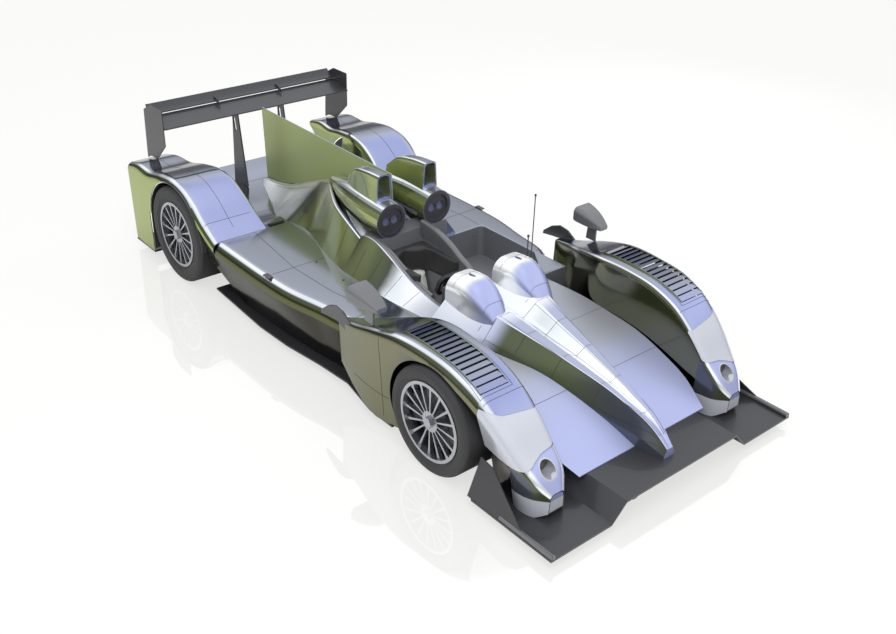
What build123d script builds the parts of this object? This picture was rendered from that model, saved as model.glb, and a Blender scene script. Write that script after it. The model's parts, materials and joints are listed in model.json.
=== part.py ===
from build123d import *
import os
from math import cos, radians, sin

# Open two-seat sports prototype race car, right-hand drive, with a rear wing and a shark fin.
# Millimetres. The nose points to -Y, the car's right side is -X, +Z is up and the ground is z = 0.
# The origin is on the ground, in the middle of the car's length and width.

# Overall sizes
car_length = 4580
car_width = 2000
front_overhang = 990
wheelbase = 2870

# Skins and clearances
skin = 5
plate = 6
seat_gap = 0.3
bearing_gap = 0.05

half_width = car_width / 2
front_y = -car_length / 2
tail_y = car_length / 2
front_axle = front_y + front_overhang
rear_axle = front_axle + wheelbase

# Wheels
rim_radius = 229
flange_radius = 240
flange_width = 7
bead_inset = 16
tyre_side_inset = 10
front_tyre_radius = 325
front_tyre_width = 300
rear_tyre_radius = 355
rear_tyre_width = 310
shoulder_radius = 34
barrel_wall = 9
spoke_count = 16
spoke_depth = 24
spoke_inset = 22
hub_radius = 62
hub_bore = 30
nut_radius = 34
nut_length = 26
disc_radius = 178
disc_width = 32
disc_x = 40
disc_bell_radius = 100
hub_end_wall = 12
front_wheel_x = half_width - tyre_side_inset - front_tyre_width / 2
rear_wheel_x = half_width - tyre_side_inset - rear_tyre_width / 2

# Uprights, with the kingpin that the front ones turn on
kingpin_radius = 10
upper_joint_rise = 95
lower_joint_drop = 140
kingpin_inset = 10
kingpin_x = front_wheel_x - kingpin_inset
rear_pin_x = rear_wheel_x - kingpin_inset
upright_depth = 90
upright_width = 56
caliper_arm = 150
joint_ring_radius = 20
arm_radius = 11
moving_gap = 5

# Levels
floor_z = 50
floor_thickness = 12
splitter_rise = 103
body_base = floor_z + floor_thickness + seat_gap
raised_base = body_base + splitter_rise
deck_z = 475

# Wheel arches
front_arch_radius = 385
front_arch_z = 285
rear_arch_radius = 388
rear_opening_length = 415

# Cockpit
tub_half_width = 490
passenger_edge = 735
pocket_floor_z = 150
bulkhead_y = 60
cover_start_y = 200
driver_x = -175
passenger_x = 175

# Wing
wing_half_span = 802
wing_leading_y = 1945
wing_leading_z = 990
wing_chord = 215
flap_chord = 95
endplate_thickness = 6
fin_thickness = 8
fin_top_z = 1012


def outline_across(y, corners):
    """Closed outline on the plane across the car at y. Each corner is x, z, radius."""
    with BuildSketch(Plane.XZ.offset(-y)) as outline:
        with BuildLine():
            FilletPolyline(
                [(x, z) for x, z, radius in corners],
                radius=[radius for x, z, radius in corners],
                close=True,
            )
        make_face()
    return outline.sketch


def outline_beside(x, corners):
    """Closed outline on the plane along the car at x. Each corner is y, z, radius."""
    with BuildSketch(Plane.YZ.offset(x)) as outline:
        with BuildLine():
            FilletPolyline(
                [(y, z) for y, z, radius in corners],
                radius=[radius for y, z, radius in corners],
                close=True,
            )
        make_face()
    return outline.sketch


def rod(start, end, radius):
    """Round bar from one point to another."""
    run = Vector(*end) - Vector(*start)
    with BuildPart() as bar:
        with BuildSketch(Plane(origin=start, z_dir=run)):
            Circle(radius)
        extrude(amount=run.length)
    return bar.part


def side_plate(x, thickness, corners):
    """Flat plate along the car, from x towards +X."""
    with BuildPart() as flat:
        extrude(outline_beside(x, corners), amount=thickness)
    return flat.part


def finish(piece, name):
    """Label a piece and write it to its own file."""
    piece.label = name
    export_step(piece, f"parts/{name}.step")


os.makedirs("parts", exist_ok=True)


# Front fender, built on the car's left and mirrored for the right.
# Columns: y from the front axle, outer x at the bottom and top, inner x at the bottom and top,
# bottom z, top z, outer radius, inner radius.
fender_rows = (
    (-762, 800, 792, 688, 694, 100, 215, 30, 30),
    (-700, 842, 850, 628, 642, body_base, 292, 45, 40),
    (-610, 862, 898, 600, 625, body_base, 380, 60, 40),
    (-500, 830, 940, 598, 632, body_base, 500, 70, 40),
    (-360, 795, 968, 599, 636, body_base, 615, 70, 40),
    (-180, 790, 983, 600, 638, body_base, 693, 64, 36),
    (60, 800, 986, 600, 638, body_base, 724, 60, 34),
    (300, 900, 984, 602, 644, body_base, 716, 56, 34),
    (520, 945, 976, 668, 706, body_base, 660, 50, 34),
    (720, 938, 956, 780, 806, 130, 592, 40, 28),
    (906, 914, 926, 868, 876, 240, 537, 16, 12),
)


def fender_sections(shrink):
    """The fender's cross sections, drawn in by a distance on every side."""
    return [
        outline_across(
            front_axle + along,
            (
                (in_low + shrink, low + shrink, 0),
                (out_low - shrink, low + shrink, 0),
                (out_top - shrink, top - shrink, out_radius),
                (in_top + shrink, top - shrink, in_radius),
            ),
        )
        for along, out_low, out_top, in_low, in_top, low, top, out_radius, in_radius
        in fender_rows
    ]


def top_of(solid, x, y):
    """Height of a solid's highest surface above one point of the ground."""
    hits = solid.find_intersection_points(Axis((x, y, 0), (0, 0, 1)))
    return max(point.Z for point, normal in hits)


# Louvres on top of the front fender
louvre_count = 15
louvre_first = -318
louvre_last = 322
louvre_in_x = 704
louvre_out_x = 900
louvre_rise = 9
louvre_thickness = 3
arm_window_length = 240
arm_window_height = 390
arm_window_radius = 40
outlet_z = 390
outlet_height = 250

# Headlight window, as seen from the front: x, z and radius of its corners
lamp_rear = 345
lamp_window = (
    (652, 385, 20),
    (690, 368, 20),
    (760, 402, 60),
    (850, 372, 30),
    (925, 400, 20),
    (950, 560, 30),
    (900, 588, 30),
    (690, 578, 60),
)
duct_rear = 560
duct_x = 721
duct_z = 300
duct_half_width = 46
duct_half_height = 62


def headlight_prism(shrink):
    """Block behind the headlight window's outline, seen from the front."""
    with BuildPart() as prism:
        with BuildSketch(Plane.XZ.offset(-front_axle + lamp_rear)):
            with BuildLine():
                FilletPolyline(
                    [(x, z) for x, z, radius in lamp_window],
                    radius=[radius for x, z, radius in lamp_window],
                    close=True,
                )
            make_face()
            offset(amount=-shrink)
        extrude(amount=front_overhang)
    return prism.part


def louvres(outer):
    """Louvre panel over the wheel: slats between two cheeks, following the fender's crest."""
    pitch = (louvre_last - louvre_first) / louvre_count
    middle_x = (louvre_in_x + louvre_out_x) / 2
    steps = [front_axle + louvre_first + pitch * index for index in range(louvre_count + 1)]
    crest = [(y, top_of(outer, middle_x, y)) for y in steps]
    with BuildPart() as panel:
        with BuildSketch(Plane.YZ.offset(louvre_in_x)):
            for (y_ahead, z_ahead), (y, z) in zip(crest, crest[1:]):
                with BuildLine():
                    Polyline(
                        (y, z - louvre_thickness),
                        (y, z),
                        (y_ahead, z_ahead + louvre_rise),
                        (y_ahead, z_ahead + louvre_rise - louvre_thickness),
                        close=True,
                    )
                make_face()
        extrude(amount=louvre_out_x - louvre_in_x)
        for cheek_x in (louvre_in_x, louvre_out_x - louvre_thickness):
            with BuildSketch(Plane.YZ.offset(cheek_x)):
                with BuildLine():
                    Polyline(
                        [(y, z + louvre_rise) for y, z in crest]
                        + [(y, z - louvre_rise - skin) for y, z in reversed(crest)],
                        close=True,
                    )
                make_face()
            extrude(amount=louvre_thickness)
    return panel.part


def front_fender():
    """Left front fender shell, its louvre panel and its headlight cover."""
    with BuildPart() as shell:
        loft(fender_sections(0))
    with BuildPart() as core:
        loft(fender_sections(skin))
    inner_wall = fender_rows[6][3]
    tail_along, tail_low, tail_out, tail_in = fender_rows[-1][0:4]
    with BuildPart() as openings:
        # wheel arch, from inside the inner wall to past the outer one
        with BuildSketch(Plane.YZ.offset(inner_wall + 2 * skin)):
            with Locations((front_axle, front_arch_z)):
                Circle(front_arch_radius)
        extrude(amount=half_width)
        # way through the inner wall for the suspension arms
        with BuildSketch(Plane.YZ.offset(inner_wall - 2 * skin)):
            with Locations((front_axle, front_tyre_radius)):
                RectangleRounded(arm_window_length, arm_window_height, arm_window_radius)
        extrude(amount=6 * skin)
        # seat of the louvre panel
        with BuildSketch(Plane.XY.offset(front_arch_z)):
            with Locations(
                (
                    (louvre_in_x + louvre_out_x) / 2,
                    front_axle + (louvre_first + louvre_last) / 2,
                )
            ):
                Rectangle(
                    louvre_out_x - louvre_in_x + 2 * seat_gap,
                    louvre_last - louvre_first + 2 * seat_gap,
                )
        extrude(amount=2 * front_arch_radius)
        # outlet behind the wheel
        with BuildSketch(Plane.XZ.offset(-front_axle - tail_along + 2 * skin)):
            with Locations(((tail_out + tail_in) / 2, outlet_z)):
                RectangleRounded(tail_out - tail_in - 5 * skin, outlet_height, 2 * skin)
        extrude(amount=-4 * skin)
        # level underside, on the splitter and the floor
        with BuildSketch(Plane.XY.offset(body_base)):
            with Locations((front_wheel_x, front_axle)):
                Rectangle(car_width, 2 * front_overhang)
        extrude(amount=-body_base)
        # brake duct
        with BuildSketch(Plane.XZ.offset(-front_axle + duct_rear)):
            with Locations((duct_x, duct_z)):
                Ellipse(duct_half_width, duct_half_height)
        extrude(amount=front_overhang)
    with BuildPart() as fender:
        add(shell.part)
        add([core.part, openings.part, headlight_prism(0)], mode=Mode.SUBTRACT)
    with BuildPart() as cover:
        add(shell.part)
        add(core.part, mode=Mode.SUBTRACT)
        add(headlight_prism(seat_gap), mode=Mode.INTERSECT)
    return fender.part, louvres(shell.part), cover.part


def both_sides(piece):
    """The piece and its mirror image on the car's other side, as one node."""
    return Compound(children=[piece, mirror(piece, Plane.YZ)])


left_fender, left_louvres, left_cover = front_fender()
finish(left_fender, "front_fender_left")
finish(mirror(left_fender, Plane.YZ), "front_fender_right")
finish(both_sides(left_louvres), "front_louvres")
finish(both_sides(left_cover), "headlight_covers")


# Splitter: flat blade with a raised middle, and a narrower tongue back under the footwell
splitter_depth = 600
tongue_depth = 690
raised_half_top = 460
raised_half_foot = 560
tongue_half = 590


def splitter_outline(half):
    """Half of the splitter's cross section, mirrored, out to a given half width."""
    low = floor_z
    high = floor_z + splitter_rise
    top = floor_thickness
    side = (
        (half, low),
        (half, low + top),
        (raised_half_foot, low + top),
        (raised_half_top, high + top),
    )
    under = ((raised_half_top, high), (raised_half_foot, low))
    return (
        side
        + tuple((-x, z) for x, z in reversed(side))
        + tuple((-x, z) for x, z in reversed(under))
        + under
    )


def front_splitter():
    """Black splitter blade under the nose and the front fenders."""
    with BuildPart() as splitter:
        with BuildSketch(Plane.XZ.offset(-front_y)):
            Polygon(*splitter_outline(half_width), align=None)
        extrude(amount=-splitter_depth)
        with BuildSketch(Plane.XZ.offset(-front_y - splitter_depth)):
            Polygon(*splitter_outline(tongue_half), align=None)
        extrude(amount=-tongue_depth)
    return splitter.part


finish(front_splitter(), "front_splitter")

# Dark side plate at each end of the splitter, low in front and rising to the fender. Columns:
# y from the front edge, z.
fence_lean = 22
fence_rows = (
    (0, body_base),
    (0, 88),
    (230, 88),
    (391, 190),
    (526, 280),
    (630, 296),
    (630, body_base),
)


def splitter_fence():
    """Left side plate, leaning in towards the fender."""
    with BuildPart() as fence:
        with BuildSketch(Plane.YZ.offset(half_width - plate)):
            Polygon(*[(front_y + along, z) for along, z in fence_rows], align=None)
        extrude(amount=plate)
    hinge = Axis((half_width - plate, 0, body_base), (0, 1, 0))
    return fence.part.rotate(hinge, -fence_lean)


finish(both_sides(splitter_fence()), "splitter_fences")

# Front deck between the nose and the fenders. Columns: y from the front axle, half width, top z.
deck_rows = (
    (-705, 520, raised_base + plate),
    (-527, 575, 252),
    (-300, 590, 335),
    (-99, 598, 385),
    (137, 600, 408),
    (350, 600, 422),
    (659.7, 560, 440),
)


def front_deck(depth, grow):
    """The deck as a plate of a given depth, raised by a distance."""
    with BuildPart() as deck:
        loft(
            [
                outline_across(
                    front_axle + along,
                    (
                        (-half, z - depth, 0),
                        (half, z - depth, 0),
                        (half, z + grow, 0),
                        (-half, z + grow, 0),
                    ),
                )
                for along, half, z in deck_rows
            ]
        )
    return deck.part


finish(front_deck(plate, 0), "front_deck")

# Nose: a twin ridge that widens back to the cowl. Columns: y from the front axle, half width
# at the foot, shoulder z, crest x and z, half width of the crest, valley z, radius.
nose_rows = (
    (-880, 42, 180, 17, 222, 5, 219, 3),
    (-800, 62, 215, 26, 292, 8, 286, 4),
    (-552, 112, 262, 46, 388, 11, 374, 6),
    (-239, 190, 345, 74, 458, 15, 432, 9),
    (90, 275, 402, 104, 500, 18, 462, 12),
    (350, 350, 424, 132, 520, 20, 472, 14),
    (659.7, 440, 446, 165, 538, 22, 484, 14),
)

# Cowl humps over the legs. Columns: y from the front axle, half width, top z, radius.
hump_rows = (
    (290, 62, 500, 50),
    (370, 96, 596, 70),
    (450, 114, 664, 84),
    (530, 121, 694, 90),
    (659.7, 122, 690, 90),
)


def nose_sections(rows, shrink):
    """Cross sections of the ridged nose, drawn in by a distance."""
    sections = []
    for along, foot, shoulder, crest_x, crest_z, crest_half, valley, radius in rows:
        side = (
            (foot - shrink, raised_base - shrink, 0),
            (foot - shrink, shoulder - shrink, 0),
            (crest_x + crest_half - shrink / 2, crest_z - shrink, radius),
            (crest_x - crest_half + shrink / 2, crest_z - shrink, radius),
        )
        sections.append(
            outline_across(
                front_axle + along,
                side
                + ((0, valley - shrink, radius),)
                + tuple((-x, z, turn) for x, z, turn in reversed(side)),
            )
        )
    return sections


def hump(x_middle, shrink):
    """One cowl hump, drawn in by a distance."""
    with BuildPart() as dome:
        loft(
            [
                outline_across(
                    front_axle + along,
                    (
                        (x_middle - half + shrink, 440, 0),
                        (x_middle + half - shrink, 440, 0),
                        (x_middle + half - shrink, top - shrink, radius),
                        (x_middle - half + shrink, top - shrink, radius),
                    ),
                )
                for along, half, top, radius in hump_rows
            ]
        )
    return dome.part


def nose():
    """Ridged nose with its two cowl humps, hollow, seated on the front deck."""
    with BuildPart() as ridge:
        loft(nose_sections(nose_rows, 0))
    with BuildPart() as hollow:
        loft(nose_sections(nose_rows[1:], skin))
    with BuildPart() as body:
        add(ridge.part)
        add([hump(driver_x, 0), hump(passenger_x, 0)])
        add(hollow.part, mode=Mode.SUBTRACT)
        add([hump(driver_x, skin), hump(passenger_x, skin)], mode=Mode.SUBTRACT)
        add(front_deck(deck_z, seat_gap), mode=Mode.SUBTRACT)
        for x_middle in (driver_x, passenger_x):
            with BuildSketch(Plane.XY.offset(deck_z)):
                with Locations((x_middle, front_axle + hump_slot_along)):
                    SlotOverall(hump_slot_length, hump_slot_width, rotation=90)
            extrude(amount=deck_z, mode=Mode.SUBTRACT)
    return body.part


hump_slot_along = 540
hump_slot_length = 62
hump_slot_width = 24
finish(nose(), "nose")


# Tub: hull with the two seats' pockets, the footwell and the driver's side rail.
# Columns of the rail: y, foot half width on the deck, top z.
scuttle_y = front_axle + deck_rows[-1][0] + seat_gap
footwell_half = 230
footwell_front_y = front_axle - 260
rail_x = 330
rail_width = 30
rail_rows = (
    (scuttle_y, 452, 508),
    (-518, 464, 520),
    (-216, 489, 603),
    (-60, 489, 667),
    (68, 487, 703),
    (cover_start_y, 485, 684),
)
bulkhead_half = 300
bulkhead_top = 690
wall = 20


def tub_hull(grow):
    """Outer block of the tub below deck level, grown by a clearance."""
    with BuildPart() as hull:
        with BuildSketch(Plane.XY.offset(body_base - grow)):
            with Locations(((passenger_edge - tub_half_width) / 2, (scuttle_y + cover_start_y) / 2)):
                Rectangle(
                    passenger_edge + tub_half_width + 2 * grow,
                    cover_start_y - scuttle_y + 2 * grow,
                )
        extrude(amount=deck_z - body_base + grow)
    return hull.part


def driver_rail():
    """Raised side of the cockpit on the driver's side."""
    with BuildPart() as rail:
        loft(
            [
                outline_across(
                    y,
                    (
                        (-foot, deck_z - wall, 0),
                        (-foot, deck_z, 0),
                        (-rail_x, top, 9),
                        (rail_width - rail_x, top, 9),
                        (rail_width - rail_x, deck_z - wall, 0),
                    ),
                )
                for y, foot, top in rail_rows
            ]
        )
    return rail.part


def tub():
    """Tub with an open pocket for each seat and a footwell ahead of them."""
    pocket_rear = bulkhead_y
    with BuildPart() as body:
        add(tub_hull(0))
        # footwell box up to the front axle
        extrude(outline_beside(-footwell_half, footwell_side), amount=2 * footwell_half)
        # bulkhead behind the seats
        with BuildSketch(Plane.XY.offset(body_base)):
            with Locations((0, (bulkhead_y + cover_start_y) / 2)):
                Rectangle(2 * bulkhead_half, cover_start_y - bulkhead_y)
        extrude(amount=bulkhead_top - body_base)
        # driver's pocket, passenger's pocket and the footwell's inside
        with BuildSketch(Plane.XY.offset(pocket_floor_z)):
            with BuildLine():
                Polyline(
                    (rail_width - rail_x, scuttle_y + 4 * wall),
                    (rail_width - rail_x, pocket_rear),
                    (wall, pocket_rear),
                    (wall, scuttle_y + 4 * wall),
                    close=True,
                )
            make_face()
        extrude(amount=deck_z, mode=Mode.SUBTRACT)
        with BuildSketch(Plane.XY.offset(passenger_floor_z)):
            with BuildLine():
                FilletPolyline(
                    (3 * wall, scuttle_y + 4 * wall),
                    (passenger_edge - 8 * wall, scuttle_y + 4 * wall),
                    (passenger_edge - wall, scuttle_y + 14 * wall),
                    (passenger_edge - wall, cover_start_y - wall),
                    (bulkhead_half + seat_gap, cover_start_y - wall),
                    (bulkhead_half + seat_gap, pocket_rear),
                    (3 * wall, pocket_rear),
                    radius=2 * wall,
                    close=True,
                )
            make_face()
        extrude(amount=deck_z, mode=Mode.SUBTRACT)
        with BuildSketch(Plane.XZ.offset(-scuttle_y - 5 * wall)):
            with Locations((wall + footwell_bore_width / 2 - footwell_half, footwell_bore_z)):
                RectangleRounded(footwell_bore_width, footwell_bore_height, wall)
        extrude(amount=footwell_bore_length, mode=Mode.SUBTRACT)
        # the middle divider stays low
        with BuildSketch(Plane.XY.offset(deck_z - 2 * wall)):
            with Locations((2 * wall, (scuttle_y + 4 * wall + pocket_rear) / 2)):
                Rectangle(3 * wall, pocket_rear - scuttle_y - 4 * wall)
        extrude(amount=deck_z, mode=Mode.SUBTRACT)
        add(driver_rail())
        add([barrel(1, seat_gap), barrel(-1, seat_gap)], mode=Mode.SUBTRACT)
    return body.part


footwell_side = (
    (footwell_front_y, raised_base, 0),
    (footwell_front_y, 300, 30),
    (front_axle + 137, 392, 60),
    (scuttle_y + wall, 405, 0),
    (scuttle_y + wall, raised_base, 0),
)
passenger_floor_z = 250
footwell_bore_z = 270
footwell_bore_width = 200
footwell_bore_height = 200
footwell_bore_length = 720

# Fairings over the two roll hoops. Columns: y, x, z, radius.
barrel_rows = (
    (bulkhead_y, 190, 800, 118),
    (cover_start_y, 190, 806, 122),
    (480, 165, 812, 108),
    (760, 102, 790, 68),
    (900, 62, 772, 38),
)

# Air scoops on the fairings. Columns: y, x, half width at the foot and top, top z, radius.
scoop_rows = (
    (140, 190, 64, 50, 1092, 28),
    (300, 186, 64, 46, 1080, 28),
    (440, 174, 56, 38, 1045, 24),
    (545, 160, 40, 22, 965, 14),
)
scoop_foot_z = 850
scoop_wall = 9
scoop_depth = 130
hoop_recess = 26
hoop_hole_radius = 30


def barrel(side, grow):
    """Tapered round fairing behind one roll hoop, grown by a clearance."""
    with BuildPart() as tapered:
        for y, x, z, radius in barrel_rows:
            with BuildSketch(Plane.XZ.offset(-y)):
                with Locations((side * x, z)):
                    Circle(radius + grow)
        loft()
    return tapered.part


def scoop(side, shrink):
    """Air scoop standing on a fairing, drawn in by a wall."""
    with BuildPart() as hood:
        loft(
            [
                outline_across(
                    y,
                    (
                        (side * x - foot + shrink, scoop_foot_z, 0),
                        (side * x + foot - shrink, scoop_foot_z, 0),
                        (side * x + top_half - shrink, top - shrink, radius),
                        (side * x - top_half + shrink, top - shrink, radius),
                    ),
                )
                for y, x, foot, top_half, top, radius in scoop_rows
            ]
        )
    return hood.part


# Engine cover: flank, rail, valley and spine. Columns: y, foot half width, foot z, rail x and z,
# valley x and z, spine half width and z, radius.
cover_rows = (
    (cover_start_y + seat_gap, 485, deck_z, 330, 684, 225, 520, 90, 560, 20),
    (377, 455, deck_z, 326, 766, 225, 570, 80, 690, 20),
    (540, 415, deck_z, 294, 798, 200, 640, 66, 765, 18),
    (700, 365, deck_z, 220, 808, 160, 725, 48, 802, 14),
    (850, 330, deck_z, 140, 800, 108, 772, 38, 800, 10),
    (960, 332, deck_z, 108, 762, 82, 748, 32, 764, 8),
    (1074, 352, deck_z, 84, 712, 62, 704, 26, 716, 6),
    (1260, 330, deck_z - 35, 70, 632, 52, 624, 22, 636, 5),
    (1442, 250, 432, 58, 550, 44, 544, 18, 554, 4),
    (1660, 160, 428, 46, 484, 34, 480, 15, 488, 3),
    (1914, 60, 424, 34, 446, 26, 444, 12, 448, 2),
)


def cover_body():
    """The engine cover's outer form, straight between its sections, down to the floor."""
    sections = []
    for y, foot, foot_z, rail, rail_z, valley, valley_z, spine, spine_z, radius in cover_rows:
        side = (
            (foot, floor_z, 0),
            (foot, foot_z, 0),
            (rail, rail_z, radius),
            (valley, valley_z, radius),
            (spine, spine_z, radius),
        )
        sections.append(
            outline_across(y, side + tuple((-x, z, turn) for x, z, turn in reversed(side)))
        )
    with BuildPart() as body:
        loft(sections, ruled=True)
    return body.part


def cover_footprint():
    """Upright block under the engine cover's foot, grown by a clearance, to cut the decks."""
    right_edge = [(row[1] + seat_gap, row[0]) for row in cover_rows]
    with BuildPart() as block:
        with BuildSketch(Plane.XY):
            Polygon(
                *right_edge, *[(-x, y) for x, y in reversed(right_edge)], align=None
            )
        extrude(amount=deck_z + wall)
    return block.part


engine_half = 250
engine_front_y = cover_start_y + seat_gap
engine_length = 580
engine_base_z = 90
engine_height = 500
bay_gap = 20


def scoop_mouth(side):
    """Open mouth at the front of one scoop."""
    with BuildPart() as mouth:
        add(scoop(side, scoop_wall))
        split(bisect_by=Plane.XZ.offset(-scoop_rows[0][0] - scoop_depth), keep=Keep.TOP)
        add(barrel(side, 2 * scoop_wall), mode=Mode.SUBTRACT)
    return mouth.part


def engine_cover():
    """Engine cover with the fairings behind the roll hoops and their air scoops."""
    first_y, first_x, first_z, first_radius = barrel_rows[0]
    deck_end = deck_rear_rows[0][0]
    with BuildPart() as cover:
        add(cover_body())
        # bay over the engine, then everything below the decks
        with BuildSketch(Plane.XY.offset(engine_base_z - bay_gap)):
            with Locations((0, engine_front_y + engine_length / 2)):
                Rectangle(2 * (engine_half + bay_gap), engine_length + 2 * bay_gap)
        extrude(amount=engine_height + 2 * bay_gap, mode=Mode.SUBTRACT)
        with BuildSketch(Plane.XY):
            with Locations((0, deck_end / 2)):
                Rectangle(car_width, deck_end + 2)
        extrude(amount=deck_z + seat_gap, mode=Mode.SUBTRACT)
        add(rear_deck_body(deck_z, seat_gap), mode=Mode.SUBTRACT)
        add([barrel(1, 0), barrel(-1, 0)])
        add([scoop(1, 0), scoop(-1, 0)])
        add([scoop_mouth(1), scoop_mouth(-1)], mode=Mode.SUBTRACT)
        for side in (1, -1):
            with BuildSketch(Plane.XZ.offset(-first_y)):
                with Locations((side * first_x, first_z)):
                    Circle(first_radius - skin)
            extrude(amount=-hoop_recess, mode=Mode.SUBTRACT)
    return cover.part


def roll_hoops():
    """Round hoop plate in the front of each fairing, with two holes."""
    first_y, first_x, first_z, first_radius = barrel_rows[0]
    with BuildPart() as left:
        with BuildSketch(Plane.XZ.offset(-first_y - hoop_recess + seat_gap)):
            with Locations((first_x, first_z)):
                Circle(first_radius - skin - seat_gap)
        extrude(amount=hoop_recess)
        with BuildSketch(Plane.XZ.offset(-first_y + seat_gap)):
            with Locations((first_x, first_z)):
                Circle(first_radius - skin - 2 * arm_radius)
        extrude(amount=-hoop_recess / 2, mode=Mode.SUBTRACT)
        with BuildSketch(Plane.XZ.offset(-first_y + seat_gap)):
            with Locations((first_x, first_z)):
                with GridLocations(2.3 * hoop_hole_radius, 0, 2, 1):
                    Circle(hoop_hole_radius)
        extrude(amount=-hoop_recess, mode=Mode.SUBTRACT)
    return both_sides(left.part)


# Rear deck between the rear fenders. Columns: y, half width, z at the sides and in the middle.
sidepod_end_y = 1055
deck_rear_rows = (
    (sidepod_end_y + seat_gap, 545, deck_z, deck_z - 2),
    (1170, 545, 472, 470),
    (1260, 545, 444, 442),
    (1600, 560, 430, 425),
    (1960, 620, 470, 430),
    (2130, 640, 560, 450),
    (2280, 650, 650, 465),
)


def rear_deck_body(depth, grow):
    """The rear deck as a plate of a given depth, raised by a distance."""
    sections = []
    for y, half, side_z, middle_z in deck_rear_rows:
        top = (
            (half, side_z + grow, 0),
            (0.45 * half, middle_z + grow, 0),
            (-0.45 * half, middle_z + grow, 0),
            (-half, side_z + grow, 0),
        )
        under = tuple((x, z - grow - depth, radius) for x, z, radius in reversed(top))
        sections.append(outline_across(y, top + under))
    with BuildPart() as body:
        loft(sections)
    return body.part


# Rear fender. Columns: y from the rear axle, outer x at the bottom and top, inner x at the
# bottom and top, bottom z, top z, outer radius, inner radius.
rear_fender_rows = (
    (sidepod_end_y + seat_gap - rear_axle, 858, 985, 532, 536, body_base, deck_z + 1, 56, 6),
    (-405, 880, 990, 533, 540, body_base, 556, 60, 20),
    (-281, 920, 993, 534, 546, body_base, 660, 66, 40),
    (-140, 955, 994, 535, 550, body_base, 738, 66, 46),
    (0, 970, 994, 538, 556, body_base, 767, 66, 46),
    (180, 975, 992, 556, 574, body_base, 752, 64, 44),
    (390, 975, 988, 592, 606, body_base, 712, 60, 40),
    (560, 975, 984, 616, 628, body_base, 714, 54, 34),
    (715, 972, 980, 634, 642, body_base, 678, 46, 26),
)


def rear_fender_sections(shrink):
    """The rear fender's cross sections, drawn in by a distance on every side."""
    return [
        outline_across(
            rear_axle + along,
            (
                (in_low + shrink, low + shrink, 0),
                (out_low - shrink, low + shrink, 0),
                (out_top - shrink, top - shrink, out_radius),
                (in_top + shrink, top - shrink, in_radius),
            ),
        )
        for along, out_low, out_top, in_low, in_top, low, top, out_radius, in_radius
        in rear_fender_rows
    ]


rear_corner_lift_y = 850
rear_corner_lift_z = 330
rear_window_height = 260


def corner_lift():
    """Wedge under the body side's lower rear corner, ahead of the rear wheel."""
    with BuildPart() as wedge:
        with BuildSketch(Plane.YZ.offset(footwell_half + passenger_edge / 2)):
            with BuildLine():
                Polyline(
                    (rear_corner_lift_y, 0),
                    (rear_corner_lift_y, body_base),
                    (rear_axle - rear_arch_radius, rear_corner_lift_z),
                    (rear_axle, rear_corner_lift_z),
                    (rear_axle, 0),
                    close=True,
                )
            make_face()
        extrude(amount=half_width)
    return wedge.part


def rear_fender():
    """Hollow left rear fender with its wheel opening, open at both ends."""
    with BuildPart() as shell:
        loft(rear_fender_sections(0))
    with BuildPart() as core:
        loft(rear_fender_sections(skin))
    with BuildPart() as openings:
        with BuildSketch(Plane.YZ.offset(rear_fender_rows[5][4] + 2 * skin)):
            with Locations((rear_axle, rear_tyre_radius)):
                Circle(rear_arch_radius)
            with Locations((rear_axle + rear_opening_length / 2, rear_arch_radius / 2)):
                Rectangle(rear_opening_length, rear_arch_radius)
        extrude(amount=half_width)
        with BuildSketch(Plane.XY.offset(body_base)):
            with Locations((rear_wheel_x, rear_axle)):
                Rectangle(car_width, 2 * front_overhang)
        extrude(amount=-body_base)
    with BuildPart() as fender:
        add(shell.part)
        add([core.part, openings.part, corner_lift()], mode=Mode.SUBTRACT)
        # way through the inner wall for the suspension arms
        with BuildSketch(Plane.YZ.offset(rear_fender_rows[4][3] - 4 * skin)):
            with Locations((rear_axle, rear_tyre_radius - 40)):
                RectangleRounded(arm_window_length, rear_window_height, arm_window_radius)
        extrude(amount=12 * skin, mode=Mode.SUBTRACT)
    with BuildPart() as seat:
        loft(rear_fender_sections(-seat_gap))
    return fender.part, seat.part


# Sidepod. Columns: y, outer x at the bottom and at the deck.
sidepod_rows = (
    (scuttle_y, 570, 650),
    (-357, 752, 857),
    (-75, 811, 910),
    (207, 835, 972),
    (490, 850, 988),
    (773, 856, 988),
    (sidepod_end_y, 858, 985),
)
bay_half = 300
sidepod_radius = 56
inlet_depth = 160
inlet_radius = 20


def sidepod():
    """Left sidepod with its flat deck, undercut side and radiator inlet."""
    with BuildPart() as pod:
        loft(
            [
                outline_across(
                    y,
                    (
                        (bay_half, body_base, 0),
                        (low_x, body_base, 0),
                        (deck_x, deck_z, sidepod_radius),
                        (bay_half, deck_z, 0),
                    ),
                )
                for y, low_x, deck_x in sidepod_rows
            ]
        )
        add(tub_hull(seat_gap).mirror(Plane.YZ), mode=Mode.SUBTRACT)
        add([cover_footprint(), corner_lift()], mode=Mode.SUBTRACT)
        with BuildSketch(Plane.XZ.offset(-scuttle_y)):
            with Locations(((tub_half_width + sidepod_rows[0][1]) / 2, (body_base + deck_z) / 2)):
                RectangleRounded(
                    sidepod_rows[0][1] - tub_half_width - 2 * skin,
                    deck_z - body_base - 4 * wall,
                    inlet_radius,
                )
        extrude(amount=-inlet_depth, mode=Mode.SUBTRACT)
    return pod.part


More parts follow.
